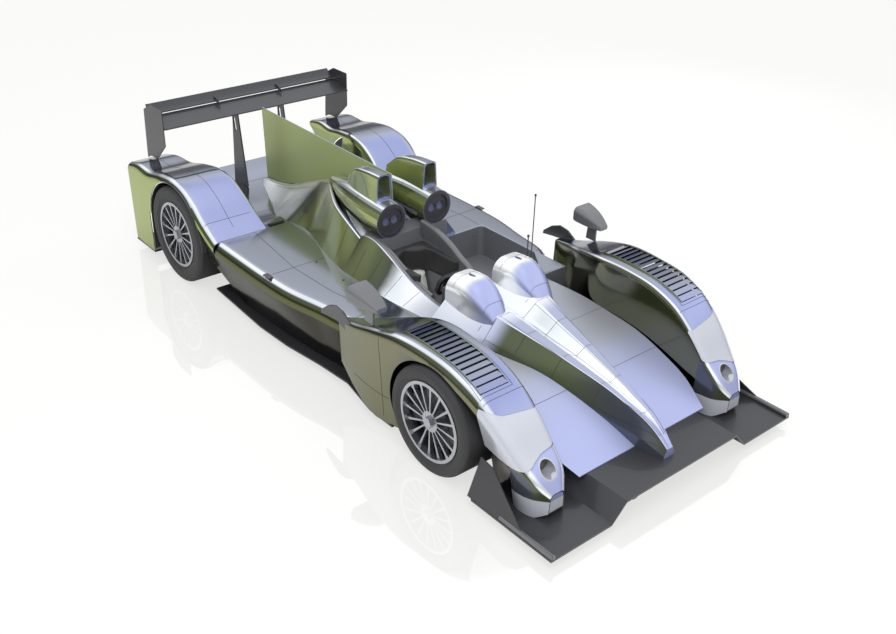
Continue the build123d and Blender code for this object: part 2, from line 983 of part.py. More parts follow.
# Underfloor: plan outline of the left half. Columns: x, y.
floor_front_y = front_axle + 385
floor_rows = (
    (tongue_half, floor_front_y - 85),
    (tongue_half, floor_front_y),
    (945, floor_front_y),
    (952, -700),
    (880, -380),
    (905, -99),
    (975, 221),
    (990, 537),
    (990, rear_axle - rear_arch_radius),
    (640, rear_axle - rear_arch_radius),
    (640, rear_axle + rear_opening_length),
    (975, rear_axle + rear_opening_length),
    (975, tail_y - 6),
    (640, tail_y - 6),
    (640, rear_axle + rear_opening_length + 10),
)
diffuser_start_y = 1500
diffuser_rise = 215
diffuser_half = 525
diffuser_strakes = 5


def underfloor():
    """Flat floor between the wheels, out to the body's sides."""
    with BuildPart() as floor:
        with BuildSketch(Plane.XY.offset(floor_z)):
            with BuildLine():
                Polyline(floor_rows + tuple((-x, y) for x, y in reversed(floor_rows)), close=True)
            make_face()
            with Locations((0, tail_y)):
                Rectangle(
                    2 * (diffuser_half + seat_gap),
                    2 * (tail_y - diffuser_start_y + seat_gap),
                    mode=Mode.SUBTRACT,
                )
        extrude(amount=floor_thickness)
    return floor.part


def diffuser():
    """Rising tunnel at the rear with upright strakes."""
    length = tail_y - diffuser_start_y
    with BuildPart() as tunnel:
        with BuildSketch(Plane.YZ.offset(-diffuser_half)):
            with BuildLine():
                Polyline(
                    (diffuser_start_y, floor_z),
                    (diffuser_start_y, floor_z + floor_thickness),
                    (tail_y, floor_z + floor_thickness + diffuser_rise),
                    (tail_y, floor_z + diffuser_rise),
                    close=True,
                )
            make_face()
        extrude(amount=2 * diffuser_half)
        with BuildSketch(Plane.YZ.offset(-diffuser_half)):
            with BuildLine():
                Polyline(
                    (diffuser_start_y + length / 4, floor_z + 10),
                    (diffuser_start_y + length / 4, floor_z + floor_thickness + diffuser_rise / 4 - 4),
                    (tail_y, floor_z + floor_thickness + diffuser_rise - 4),
                    (tail_y, floor_z + 40),
                    close=True,
                )
            make_face()
        extrude(amount=plate)
        strake_pitch = (2 * diffuser_half - plate) / (diffuser_strakes - 1)
        strake = tunnel.part & side_plate(
            -diffuser_half,
            plate,
            (
                (diffuser_start_y + length / 4, floor_z + 10, 0),
                (diffuser_start_y + length / 4, floor_z + diffuser_rise / 4 + 4, 0),
                (tail_y, floor_z + diffuser_rise + 4, 0),
                (tail_y, floor_z + 40, 0),
            ),
        )
        for index in range(1, diffuser_strakes):
            add(strake.moved(Location((index * strake_pitch, 0, 0))))
    return tunnel.part


left_rear_fender, rear_fender_seat = rear_fender()
finish(left_rear_fender, "rear_fender_left")
finish(mirror(left_rear_fender, Plane.YZ), "rear_fender_right")

with BuildPart() as rear_deck:
    add(rear_deck_body(plate, 0))
    add([rear_fender_seat, mirror(rear_fender_seat, Plane.YZ)], mode=Mode.SUBTRACT)
finish(rear_deck.part, "rear_deck")

left_sidepod = sidepod()
with BuildPart() as passenger_side:
    add(left_sidepod)
    add(tub_hull(seat_gap), mode=Mode.SUBTRACT)
finish(passenger_side.part, "sidepod_left")
finish(mirror(left_sidepod, Plane.YZ), "sidepod_right")
finish(tub(), "tub")
full_cover = engine_cover()
finish(full_cover, "engine_cover")
finish(roll_hoops(), "roll_hoops")
finish(underfloor(), "underfloor")
finish(diffuser(), "diffuser")

# Shark fin on the spine, from between the scoops to the wing
fin_front_y = 290
fin_rear_top_y = wing_leading_y - moving_gap


def shark_fin():
    """Upright fin that follows the engine cover's spine."""
    spine = [(row[0], row[8] + seat_gap) for row in cover_rows if row[0] > fin_front_y]
    foot = cover_rows[1][8] + seat_gap
    with BuildPart() as fin:
        with BuildSketch(Plane.YZ.offset(-fin_thickness / 2)):
            Polygon(
                (fin_front_y + wall, fin_top_z - 14),
                (fin_rear_top_y, fin_top_z),
                *reversed(spine),
                (fin_front_y, foot),
                align=None,
            )
        extrude(amount=fin_thickness)
    return fin.part


finish(shark_fin(), "shark_fin")

# Engine and gearbox, plain blocks under the cover
gearbox_rows = (
    (engine_front_y + engine_length + seat_gap, 120, 290, 225),
    (1300, 105, 260, 171),
    (1780, 70, 285, 135),
)
gearbox_radius = 20


def engine():
    """Vee engine block: a crankcase that widens to two banks."""
    low = engine_base_z
    with BuildPart() as block:
        with BuildSketch(Plane.XZ.offset(-engine_front_y)):
            Polygon(
                (-120, low),
                (120, low),
                (150, low + 180),
                (engine_half, low + 400),
                (130, low + engine_height),
                (0, low + 330),
                (-130, low + engine_height),
                (-engine_half, low + 400),
                (-150, low + 180),
                align=None,
            )
        extrude(amount=-engine_length)
    return block.part


def gearbox(grow):
    """Tapered gearbox behind the engine. Rows: y, half width, centre z, height."""
    with BuildPart() as case:
        for y, half, z, height in gearbox_rows:
            with BuildSketch(Plane.XZ.offset(-y)):
                with Locations((0, z)):
                    RectangleRounded(
                        2 * (half + grow), height + 2 * grow, gearbox_radius + grow
                    )
        loft()
    return case.part


finish(engine(), "engine")
finish(gearbox(0), "gearbox")

# Wing: two elements between end plates, on two plates that stand on the rear deck
wing_slot = 14
pylon_x = 200


def wing_section(nose_y, nose_z, chord, rise, thickness):
    """Cambered wing section, nose first, curved underneath and flatter on top."""
    with BuildSketch(Plane.YZ.offset(-wing_half_span)) as section:
        with BuildLine():
            lower = ThreePointArc(
                (nose_y, nose_z),
                (nose_y + 0.45 * chord, nose_z + 0.3 * rise - thickness),
                (nose_y + chord, nose_z + rise),
            )
            upper = ThreePointArc(
                (nose_y + chord, nose_z + rise + 3),
                (nose_y + 0.4 * chord, nose_z + 0.3 * rise + 0.4 * thickness),
                (nose_y + 3, nose_z + 8),
            )
            Line(lower @ 1, upper @ 0)
            Line(upper @ 1, lower @ 0)
        make_face()
    return section.sketch


def rear_wing():
    """Main plane and flap, joined by slot brackets."""
    flap_y = wing_leading_y + wing_chord - wing_slot
    flap_z = wing_leading_z + 0.22 * wing_chord + wing_slot
    with BuildPart() as wing:
        extrude(
            wing_section(wing_leading_y, wing_leading_z, wing_chord, 0.22 * wing_chord, 22),
            amount=2 * wing_half_span,
            dir=(1, 0, 0),
        )
        extrude(
            wing_section(flap_y, flap_z, flap_chord, 0.55 * flap_chord, 9),
            amount=2 * wing_half_span,
            dir=(1, 0, 0),
        )
        for bracket_x in (-272, 272):
            with BuildSketch(Plane.YZ.offset(bracket_x)):
                Polygon(
                    (flap_y - 50, flap_z - 16),
                    (flap_y + 40, flap_z + 6),
                    (flap_y + 42, flap_z + 34),
                    (flap_y + 10, flap_z + 30),
                    (flap_y - 50, flap_z + 4),
                    align=None,
                )
            extrude(amount=plate)
    return wing.part


endplate_outline = (
    (1966, 1128, 6),
    (2150, 1129, 6),
    (tail_y - 26, 1066, 6),
    (tail_y - 4, 690, 8),
    (2170, 672, 10),
    (1966, 862, 10),
)


def wing_endplates():
    """Plate at each end of the wing."""
    with BuildPart() as left:
        add(side_plate(wing_half_span + seat_gap, endplate_thickness, endplate_outline))
        add(rear_fender_seat, mode=Mode.SUBTRACT)
    return both_sides(left.part.solids().sort_by(SortBy.VOLUME)[-1])


def wing_pylons():
    """Two upright plates from the rear deck to the wing's underside."""
    with BuildPart() as pylon:
        with BuildSketch(Plane.YZ.offset(pylon_x - plate)):
            with BuildLine():
                FilletPolyline(
                    (1860, 300),
                    (1966, wing_leading_z + 30),
                    (2052, wing_leading_z + 30),
                    (2040, wing_leading_z - 60),
                    (2080, 300),
                    radius=(0, 8, 8, 30, 0),
                    close=True,
                )
            make_face()
            with Locations((2010, wing_leading_z - 90)):
                SlotOverall(110, 34, rotation=80, mode=Mode.SUBTRACT)
        extrude(amount=2 * plate)
        add(rear_wing_seat, mode=Mode.SUBTRACT)
        add(rear_deck_body(deck_z, seat_gap), mode=Mode.SUBTRACT)
    standing = pylon.part.solids().sort_by(Axis.Z)
    return both_sides(max(standing, key=lambda solid: solid.volume))


full_wing = rear_wing()
with BuildPart() as wing_keep_out:
    add(full_wing)
    add(full_wing.moved(Location((0, 0, seat_gap))))
    add(full_wing.moved(Location((0, 0, -seat_gap))))
rear_wing_seat = wing_keep_out.part
finish(full_wing, "rear_wing")
finish(wing_endplates(), "wing_endplates")
finish(wing_pylons(), "wing_pylons")


# Wheels. Each is built on the left at its own axle, and the right one is its mirror image.
def wheel_plane(wheel_x, axle_y, hub_z):
    """Plane square to the axle at the middle of a left wheel, facing outwards."""
    return Plane(origin=(wheel_x, axle_y, hub_z), x_dir=(0, 1, 0), z_dir=(1, 0, 0))


def ring_about_axle(wheel_x, axle_y, hub_z, side):
    """Body turned about the axle, alike to both sides. Each corner is x, radius, fillet."""
    corners = side + tuple((-x, radius, turn) for x, radius, turn in reversed(side))
    with BuildPart() as ring:
        with BuildSketch(Plane.XZ.offset(-axle_y)):
            with BuildLine():
                FilletPolyline(
                    [(wheel_x + x, hub_z + radius) for x, radius, turn in corners],
                    radius=[turn for x, radius, turn in corners],
                    close=True,
                )
            make_face()
        revolve(axis=Axis((0, axle_y, hub_z), (1, 0, 0)))
    return ring.part


def tyre(wheel_x, axle_y, radius, width):
    """Slick tyre with rounded shoulders, open at the bead."""
    half = width / 2
    bead = half - bead_inset
    side = (
        (bead, rim_radius, 0),
        (bead, flange_radius + 2, 0),
        (half, flange_radius + shoulder_radius, 20),
        (half, radius, shoulder_radius),
    )
    return ring_about_axle(wheel_x, axle_y, radius, side)


def rim(wheel_x, axle_y, radius, width):
    """Wheel rim: barrel with two flanges, spokes, hub and centre nut."""
    bead = width / 2 - bead_inset + seat_gap
    barrel_outer = rim_radius - seat_gap
    barrel_inner = barrel_outer - barrel_wall
    spoke_face = width / 2 - spoke_inset
    side = (
        (bead, barrel_outer, 0),
        (bead, flange_radius, 0),
        (bead + flange_width, flange_radius, 2),
        (bead + flange_width, barrel_inner, 0),
    )
    barrel_ring = ring_about_axle(wheel_x, axle_y, radius, side)
    face = wheel_plane(wheel_x, axle_y, radius)
    with BuildPart() as wheel:
        add(barrel_ring)
        with BuildSketch(face.offset(spoke_face - spoke_depth)):
            with PolarLocations(0, spoke_count):
                Polygon(
                    (hub_radius - 6, -6),
                    (barrel_inner - 20, -10),
                    (barrel_inner + 2, -19),
                    (barrel_inner + 2, 19),
                    (barrel_inner - 20, 10),
                    (hub_radius - 6, 6),
                    align=None,
                )
        extrude(amount=spoke_depth, taper=6)
        # hub from the brake disc out to the face, with the centre nut
        with BuildSketch(face.offset(disc_x)):
            Circle(hub_radius)
        extrude(amount=spoke_face - disc_x)
        with BuildSketch(face.offset(spoke_face)):
            RegularPolygon(nut_radius, 6)
        extrude(amount=nut_length - 6)
        with BuildSketch(face.offset(disc_x)):
            Circle(hub_bore + bearing_gap)
        extrude(amount=spoke_face - disc_x - hub_end_wall, mode=Mode.SUBTRACT)
    return wheel.part


def brake_disc(wheel_x, axle_y, radius):
    """Brake disc on the wheel's hub."""
    half = disc_width / 2
    with BuildPart() as disc:
        with BuildSketch(wheel_plane(wheel_x, axle_y, radius).offset(disc_x)):
            Circle(disc_radius)
            Circle(hub_radius + seat_gap, mode=Mode.SUBTRACT)
        extrude(amount=disc_width)
        with BuildSketch(wheel_plane(wheel_x, axle_y, radius).offset(disc_x)):
            Circle(disc_bell_radius)
            Circle(hub_radius + seat_gap, mode=Mode.SUBTRACT)
        extrude(amount=disc_width + half)
    return disc.part


def upright(wheel_x, pin_x, axle_y, radius, width):
    """Left upright: post, stub axle, brake caliper and the two joint pins."""
    face = wheel_plane(wheel_x, axle_y, radius)
    inner = pin_x - wheel_x - upright_width / 2
    post_top = upper_joint_rise - 1.5 * kingpin_radius
    post_bottom = -(lower_joint_drop - 1.5 * kingpin_radius)
    axle_end = width / 2 - spoke_inset - hub_end_wall - moving_gap
    caliper_in = disc_x - moving_gap
    caliper_out = disc_x + disc_width + moving_gap
    with BuildPart() as carrier:
        with BuildSketch(face.offset(inner)):
            with BuildLine():
                FilletPolyline(
                    (-0.25 * upright_depth, post_bottom),
                    (-0.5 * upright_depth, 0),
                    (-0.25 * upright_depth, post_top),
                    (0.25 * upright_depth, post_top),
                    (0.5 * upright_depth, 0),
                    (0.25 * upright_depth, post_bottom),
                    radius=8,
                    close=True,
                )
            make_face()
        extrude(amount=upright_width)
        # stub axle that the wheel's hub turns on
        with BuildSketch(face.offset(inner + upright_width)):
            Circle(hub_bore)
        extrude(amount=axle_end - inner - upright_width)
        # caliper round the disc's edge, on an arm from the post
        with BuildSketch(face.offset(inner + 2)):
            with Locations((caliper_arm / 2, 0)):
                RectangleRounded(caliper_arm, 60, 10)
        extrude(amount=upright_width - 8)
        with BuildSketch(face.offset(inner + upright_width - 20)):
            with Locations(((disc_bell_radius + 22 + disc_radius + 14) / 2, 0)):
                RectangleRounded(disc_radius - disc_bell_radius - 8, 150, 12)
        extrude(amount=caliper_out + 12 - inner - upright_width + 20)
        with BuildSketch(face.offset(caliper_in)):
            Circle(disc_radius + moving_gap)
            Circle(hub_bore, mode=Mode.SUBTRACT)
        extrude(amount=caliper_out - caliper_in, mode=Mode.SUBTRACT)
        # pins for the upper and lower joint rings
        with BuildSketch(Plane.XY.offset(radius + post_top - kingpin_radius)):
            with Locations((pin_x, axle_y)):
                Circle(kingpin_radius)
        extrude(amount=upper_joint_rise - post_top + 2 * kingpin_radius)
        with BuildSketch(Plane.XY.offset(radius + post_bottom + kingpin_radius)):
            with Locations((pin_x, axle_y)):
                Circle(kingpin_radius)
        extrude(amount=-(lower_joint_drop + post_bottom + 2 * kingpin_radius))
    return carrier.part


def wishbones(pin_x, axle_y, hub_z, inner_x, inner_low_z, inner_high_z, spread):
    """Left upper and lower wishbones, from the tub to the rings round the upright's pins."""
    with BuildPart() as arms:
        for ring_z, inner_z in (
            (hub_z + upper_joint_rise, inner_high_z),
            (hub_z - lower_joint_drop, inner_low_z),
        ):
            with BuildSketch(Plane.XY.offset(ring_z - kingpin_radius)):
                with Locations((pin_x, axle_y)):
                    Circle(joint_ring_radius)
            extrude(amount=2 * kingpin_radius)
            for side in (-1, 1):
                add(
                    rod(
                        (inner_x + seat_gap, axle_y + side * spread, inner_z),
                        (pin_x - joint_ring_radius + 4, axle_y + 6 * side, ring_z),
                        arm_radius,
                    )
                )
            with BuildSketch(Plane.XY.offset(ring_z - 2 * kingpin_radius)):
                with Locations((pin_x, axle_y)):
                    Circle(kingpin_radius + bearing_gap)
            extrude(amount=4 * kingpin_radius, mode=Mode.SUBTRACT)
        with BuildSketch(Plane.YZ.offset(inner_x + seat_gap)):
            with Locations((axle_y, hub_z)):
                Rectangle(4 * spread, 2 * hub_z)
        extrude(amount=-2 * arm_radius, mode=Mode.SUBTRACT)
    return arms.part


for axle_name, wheel_x, axle_y, radius, width in (
    ("front", front_wheel_x, front_axle, front_tyre_radius, front_tyre_width),
    ("rear", rear_wheel_x, rear_axle, rear_tyre_radius, rear_tyre_width),
):
    for piece_name, piece in (
        ("tyre", tyre(wheel_x, axle_y, radius, width)),
        ("rim", rim(wheel_x, axle_y, radius, width)),
        ("brake_disc", brake_disc(wheel_x, axle_y, radius)),
    ):
        finish(piece, f"{piece_name}_{axle_name}_left")
        finish(mirror(piece, Plane.YZ), f"{piece_name}_{axle_name}_right")

front_upright = upright(front_wheel_x, kingpin_x, front_axle, front_tyre_radius, front_tyre_width)
finish(front_upright, "knuckle_front_left")
finish(mirror(front_upright, Plane.YZ), "knuckle_front_right")
rear_upright = upright(rear_wheel_x, rear_pin_x, rear_axle, rear_tyre_radius, rear_tyre_width)
finish(both_sides(rear_upright), "rear_uprights")
front_arms = wishbones(kingpin_x, front_axle, front_tyre_radius, footwell_half, 185, 280, 130)
finish(both_sides(front_arms), "front_wishbones")
with BuildPart() as rear_arms:
    add(wishbones(rear_pin_x, rear_axle, rear_tyre_radius, 40, 240, 300, 150))
    add(gearbox(seat_gap), mode=Mode.SUBTRACT)
finish(both_sides(rear_arms.part), "rear_wishbones")


# Cockpit pieces of the driver's side
steering_x = -145
steering_y = -500
steering_z = 580
steering_tilt = 20
steering_width = 240
steering_height = 150
steering_depth = 24
column_radius = 14
dash_front_y = scuttle_y + 5
dash_rear_y = -585
seat_side = (
    (-440, pocket_floor_z + seat_gap, 0),
    (-440, 230, 30),
    (-130, 200, 60),
    (-50, 432, 30),
    (bulkhead_y - seat_gap, 432, 0),
    (bulkhead_y - seat_gap, pocket_floor_z + seat_gap, 0),
)
collar_base_z = 435.5
collar_top_z = 600
collar_front_y = -360


def seat():
    """Driver's seat pad, a closed body in the pocket."""
    with BuildPart() as pad:
        extrude(outline_beside(rail_width - rail_x + wall / 2, seat_side), amount=300)
    return pad.part


def headrest():
    """Padded collar round the driver's head."""
    inner_x = rail_width - rail_x + seat_gap
    outer_x = 3.5 * wall
    with BuildPart() as collar:
        with BuildSketch(Plane.XY.offset(collar_base_z)):
            with BuildLine():
                FilletPolyline(
                    (inner_x, bulkhead_y - seat_gap),
                    (inner_x, collar_front_y + 30),
                    (inner_x + 40, collar_front_y),
                    (inner_x + 48, -60),
                    (driver_x + 40, 16),
                    (outer_x - 44, -60),
                    (outer_x - 34, collar_front_y),
                    (outer_x, collar_front_y + 30),
                    (outer_x, bulkhead_y - seat_gap),
                    radius=(0, 20, 12, 90, 60, 90, 12, 20, 0),
                    close=True,
                )
            make_face()
        extrude(amount=collar_top_z - collar_base_z)
    return collar.part


def steering_plane(reach):
    """Plane square to the steering column, a distance from the wheel's middle to the driver."""
    lean = radians(steering_tilt)
    toward = Vector(0, cos(lean), sin(lean))
    middle = Vector(steering_x, steering_y, steering_z) + toward * reach
    return Plane(origin=middle, x_dir=(1, 0, 0), z_dir=toward)


def steering_wheel():
    """Steering wheel with two grips and a sleeve that turns on the column."""
    with BuildPart() as wheel:
        with BuildSketch(steering_plane(-steering_depth / 2)):
            RectangleRounded(steering_width, steering_height, 50)
            with Locations((-0.33 * steering_width, 0), (0.33 * steering_width, 0)):
                SlotOverall(0.55 * steering_height, 36, rotation=90, mode=Mode.SUBTRACT)
        extrude(amount=steering_depth)
        with BuildSketch(steering_plane(-steering_depth / 2 - 30)):
            Circle(2 * column_radius)
        extrude(amount=30)
        with BuildSketch(steering_plane(-steering_depth / 2 - 30)):
            Circle(column_radius + bearing_gap)
        extrude(amount=40, mode=Mode.SUBTRACT)
    return wheel.part


def dashboard():
    """Dashboard on the cowl with the steering column."""
    with BuildPart() as panel:
        with BuildSketch(Plane.XY.offset(deck_z + seat_gap)):
            with Locations((steering_x, (dash_front_y + dash_rear_y) / 2)):
                Rectangle(300, dash_rear_y - dash_front_y)
        extrude(amount=150)
        with BuildSketch(steering_plane(-steering_depth / 2 + 5)):
            Circle(column_radius)
        extrude(amount=-90)
    return panel.part


finish(seat(), "seat")
finish(headrest(), "headrest")
finish(dashboard(), "dashboard")
finish(steering_wheel(), "steering_wheel")


# Mirrors on the front fenders. Columns: y, middle x, middle z, width, height, corner.
mirror_rows = (
    (-790, 903, 762, 70, 30, 10),
    (-700, 910, 782, 126, 80, 24),
    (-576, 916, 800, 164, 105, 34),
)
mirror_post_x = 905
mirror_post_width = 12
mirror_post_top = 790


def mirror_sections():
    """Cross sections of a left mirror's head."""
    sections = []
    for y, middle_x, middle_z, width, height, corner in mirror_rows:
        low = middle_z - height / 2
        high = middle_z + height / 2
        left = middle_x - width / 2
        right = middle_x + width / 2
        corners = ((left, low), (right, low), (right, high), (left, high))
        sections.append(outline_across(y, tuple((x, z, corner) for x, z in corners)))
    return sections


def side_mirror(foot_z):
    """Left mirror: pointed head on a flat post that stands on the fender."""
    with BuildPart() as piece:
        loft(mirror_sections())
        with BuildSketch(Plane.YZ.offset(mirror_post_x)):
            with BuildLine():
                Polyline(
                    (-720, foot_z),
                    (-640, foot_z),
                    (-655, mirror_post_top),
                    (-725, mirror_post_top),
                    close=True,
                )
            make_face()
        extrude(amount=mirror_post_width)
    return piece.part


post_corners = [
    (x, y) for x in (mirror_post_x, mirror_post_x + mirror_post_width) for y in (-720, -640)
]
post_foot_z = max(top_of(left_fender, x, y) for x, y in post_corners) + seat_gap
finish(both_sides(side_mirror(post_foot_z)), "mirrors")


# Tow eyes, with their bores along the car. The front one hangs under the raised middle of the
# splitter, the rear one stands on the end of a bar behind the gearbox.
tow_bore_radius = 20
tow_plate_radius = 34
tow_plate_width = 10
front_tow_x = -330
front_tow_y = -2235
front_tow_z = 112
tow_bar_half = 20
tow_bar_z = 315
rear_tow_y = 2195
rear_tow_z = tow_bar_z + tow_bar_half + tow_plate_radius


def tow_plate(y, outline, bore_x, bore_z):
    """Plate across the car with the tow bore, from corners in x and z with their radii."""
    with BuildPart() as eye:
        with BuildSketch(Plane.XZ.offset(-y - tow_plate_width / 2)):
            with BuildLine():
                FilletPolyline(
                    [(x, z) for x, z, radius in outline],
                    radius=[radius for x, z, radius in outline],
                    close=True,
                )
            make_face()
            with Locations((bore_x, bore_z)):
                Circle(tow_bore_radius, mode=Mode.SUBTRACT)
        extrude(amount=tow_plate_width)
    return eye.part


def tow_eyes():
    """Front plate and rear bar with its plate."""
    splitter_under = floor_z + splitter_rise - seat_gap
    front_low = front_tow_z - tow_plate_radius
    front_outline = (
        (front_tow_x - tow_plate_radius, splitter_under, 0),
        (front_tow_x - tow_plate_radius, front_low, 30),
        (front_tow_x + tow_plate_radius, front_low, 30),
        (front_tow_x + tow_plate_radius, splitter_under, 0),
    )
    rear_start = gearbox_rows[-1][0] + seat_gap
    rear_low = tow_bar_z - tow_bar_half
    rear_outline = (
        (-tow_plate_radius, rear_low, 6),
        (tow_plate_radius, rear_low, 6),
        (tow_plate_radius, rear_tow_z + tow_plate_radius, 30),
        (-tow_plate_radius, rear_tow_z + tow_plate_radius, 30),
    )
    with BuildPart() as rear:
        with BuildSketch(Plane.XZ.offset(-rear_start)):
            with Locations((0, tow_bar_z)):
                RectangleRounded(2 * tow_bar_half, 2 * tow_bar_half, 6)
        extrude(amount=rear_start - rear_tow_y)
        add(tow_plate(rear_tow_y, rear_outline, 0, rear_tow_z))
    front = tow_plate(front_tow_y, front_outline, front_tow_x, front_tow_z)
    return Compound(children=[front, rear.part])


finish(tow_eyes(), "tow_eyes")
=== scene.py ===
import json
import math

import bmesh
import bpy
from mathutils import Matrix, Vector
from mathutils.bvhtree import BVHTree


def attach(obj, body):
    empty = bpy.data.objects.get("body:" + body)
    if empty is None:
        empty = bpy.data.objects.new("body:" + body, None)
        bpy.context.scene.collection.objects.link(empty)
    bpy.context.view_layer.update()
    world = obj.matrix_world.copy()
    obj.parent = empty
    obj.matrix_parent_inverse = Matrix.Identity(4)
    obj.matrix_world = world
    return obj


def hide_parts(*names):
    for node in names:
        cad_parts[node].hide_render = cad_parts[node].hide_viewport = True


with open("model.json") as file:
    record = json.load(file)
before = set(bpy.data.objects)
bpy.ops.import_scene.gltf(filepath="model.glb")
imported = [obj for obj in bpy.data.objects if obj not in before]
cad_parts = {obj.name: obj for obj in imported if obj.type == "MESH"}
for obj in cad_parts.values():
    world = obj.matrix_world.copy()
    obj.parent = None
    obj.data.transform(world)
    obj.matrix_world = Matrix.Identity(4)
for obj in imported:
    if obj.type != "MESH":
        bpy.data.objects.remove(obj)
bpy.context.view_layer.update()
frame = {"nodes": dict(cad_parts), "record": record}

# Tables are in millimetres, as on a drawing, and meshes are in metres.
# X points to the car's left, Y to its tail and Z up.
MM = 0.001

# Driving places: the axles along the car, the body's lower edge and the height of the decks.
FRONT_AXLE = -1300
REAR_AXLE = 1570
BASE = 62.3
DECK = 475
# Distance of both seats, with their humps and fairings, from the middle of the car.
SEAT_X = 190
# Thickness of the bodywork, and the gap left where one skin is trimmed by another.
SKIN = 5
TRIM_GAP = 0.3
# Cutters reach at least this far out, past the widest part of the car.
PAST_SIDE = 1100
# Faces that meet at more than this many degrees keep a sharp edge.
SHARP_ANGLE = 32

# Materials. Each plain one is named after the record's slot that it paints.


def link(owner, source, target):
    """Joins two sockets in the node tree of a material or the world."""
    owner.node_tree.links.new(source, target)


def node(owner, kind, **values):
    """A new node with the given settings, in the tree of a material or the world."""
    made = owner.node_tree.nodes.new(kind)
    for key, value in values.items():
        setattr(made, key, value)
    return made


def new_shader(name, color, metallic, roughness, coat=0.0):
    """A principled material and its shader node."""
    material = bpy.data.materials.new(name)
    material.use_nodes = True
    shader = material.node_tree.nodes["Principled BSDF"]
    shader.inputs["Base Color"].default_value = (*color, 1)
    shader.inputs["Metallic"].default_value = metallic
    shader.inputs["Roughness"].default_value = roughness
    shader.inputs["Coat Weight"].default_value = coat
    shader.inputs["Coat Roughness"].default_value = 0.05
    return material, shader


def ramp(material, source, start, end):
    """0 to 1 as the source goes from start to end, eased."""
    made = node(material, "ShaderNodeMapRange", interpolation_type="SMOOTHSTEP")
    made.inputs["From Min"].default_value = start
    made.inputs["From Max"].default_value = end
    link(material, source, made.inputs["Value"])
    return made.outputs["Result"]


def separate(owner, source):
    """The X, Y and Z of a vector."""
    made = node(owner, "ShaderNodeSeparateXYZ")
    link(owner, source, made.inputs[0])
    return made.outputs


def negative(material, source):
    """The source with its sign turned."""
    made = node(material, "ShaderNodeMath", operation="MULTIPLY")
    link(material, source, made.inputs[0])
    made.inputs[1].default_value = -1
    return made.outputs[0]


def color_ramp(owner, source, stops):
    """Colours against a source. Each stop is its place, its colour and an alpha."""
    made = node(owner, "ShaderNodeValToRGB")
    elements = made.color_ramp.elements
    while len(elements) < len(stops):
        elements.new(0.5)
    for element, (place, color, alpha) in zip(elements, stops):
        element.position = place
        element.color = (*color, alpha)
    link(owner, source, made.inputs["Fac"])
    return made


def blend_color(material, factor, first, second):
    """Mix of two colours. Each is a socket or three numbers."""
    made = node(material, "ShaderNodeMix", data_type="RGBA")
    link(material, factor, made.inputs["Factor"])
    for value, socket in ((first, made.inputs["A"]), (second, made.inputs["B"])):
        if isinstance(value, tuple):
            socket.default_value = (*value, 1)
        else:
            link(material, value, socket)
    return made.outputs["Result"]


def speckle(material, shader, scale, strength, distance):
    """Fine noise in the surface's relief."""
    place = node(material, "ShaderNodeTexCoord")
    noise = node(material, "ShaderNodeTexNoise")
    noise.inputs["Scale"].default_value = scale
    noise.inputs["Detail"].default_value = 4
    link(material, place.outputs["Object"], noise.inputs["Vector"])
    bump = node(material, "ShaderNodeBump")
    bump.inputs["Strength"].default_value = strength
    bump.inputs["Distance"].default_value = distance
    link(material, noise.outputs["Fac"], bump.inputs["Height"])
    link(material, bump.outputs["Normal"], shader.inputs["Normal"])
    return noise.outputs["Fac"]


# Colours of light painted into the mirror-like bodywork by the way each face points: a grey painted
# reflection on top, a lavender painted reflection to the front, an olive painted reflection to the
# side, a dark painted reflection and shade for the sides and undersides of the nose and deck, and a
# pale painted highlight.
TOP_REFLECTION_GREY = (0.36, 0.38, 0.43)
FRONT_REFLECTION_LAVENDER = (0.42, 0.46, 0.72)
SIDE_REFLECTION_OLIVE = (0.36, 0.42, 0.15)
DARK_REFLECTION_AND_SHADE = (0.10, 0.11, 0.14)
PALE_HIGHLIGHT = (0.93, 0.95, 0.97)
# Painted reflections against how far a surface faces to the side: place, colour and how strongly it
# shows. They give a painted white highlight where a face turns from the top to the side, then a dark
# band of painted reflection.
PAINTED_SIDE_REFLECTIONS = (
    (0.22, (0.90, 0.92, 0.95), 0.0),
    (0.40, (0.95, 0.96, 0.97), 1.0),
    (0.58, (0.80, 0.84, 0.85), 1.0),
    (0.68, (0.07, 0.08, 0.06), 1.0),
    (0.78, (0.10, 0.12, 0.06), 1.0),
)
# From this far on, the side's painted reflection shows in full.
FULL_SIDE = 0.92
# How far a surface faces forward, or down, where the painted reflection to the front, or the painted
# shade below, starts and is full.
FRONT_REFLECTION_FACING = (0.05, 0.4)
UNDER_SHADE_FACING = (0.06, 0.24)
# Length in metres over which the nose turns to a pale painted highlight.
PALE_FADE = 0.12


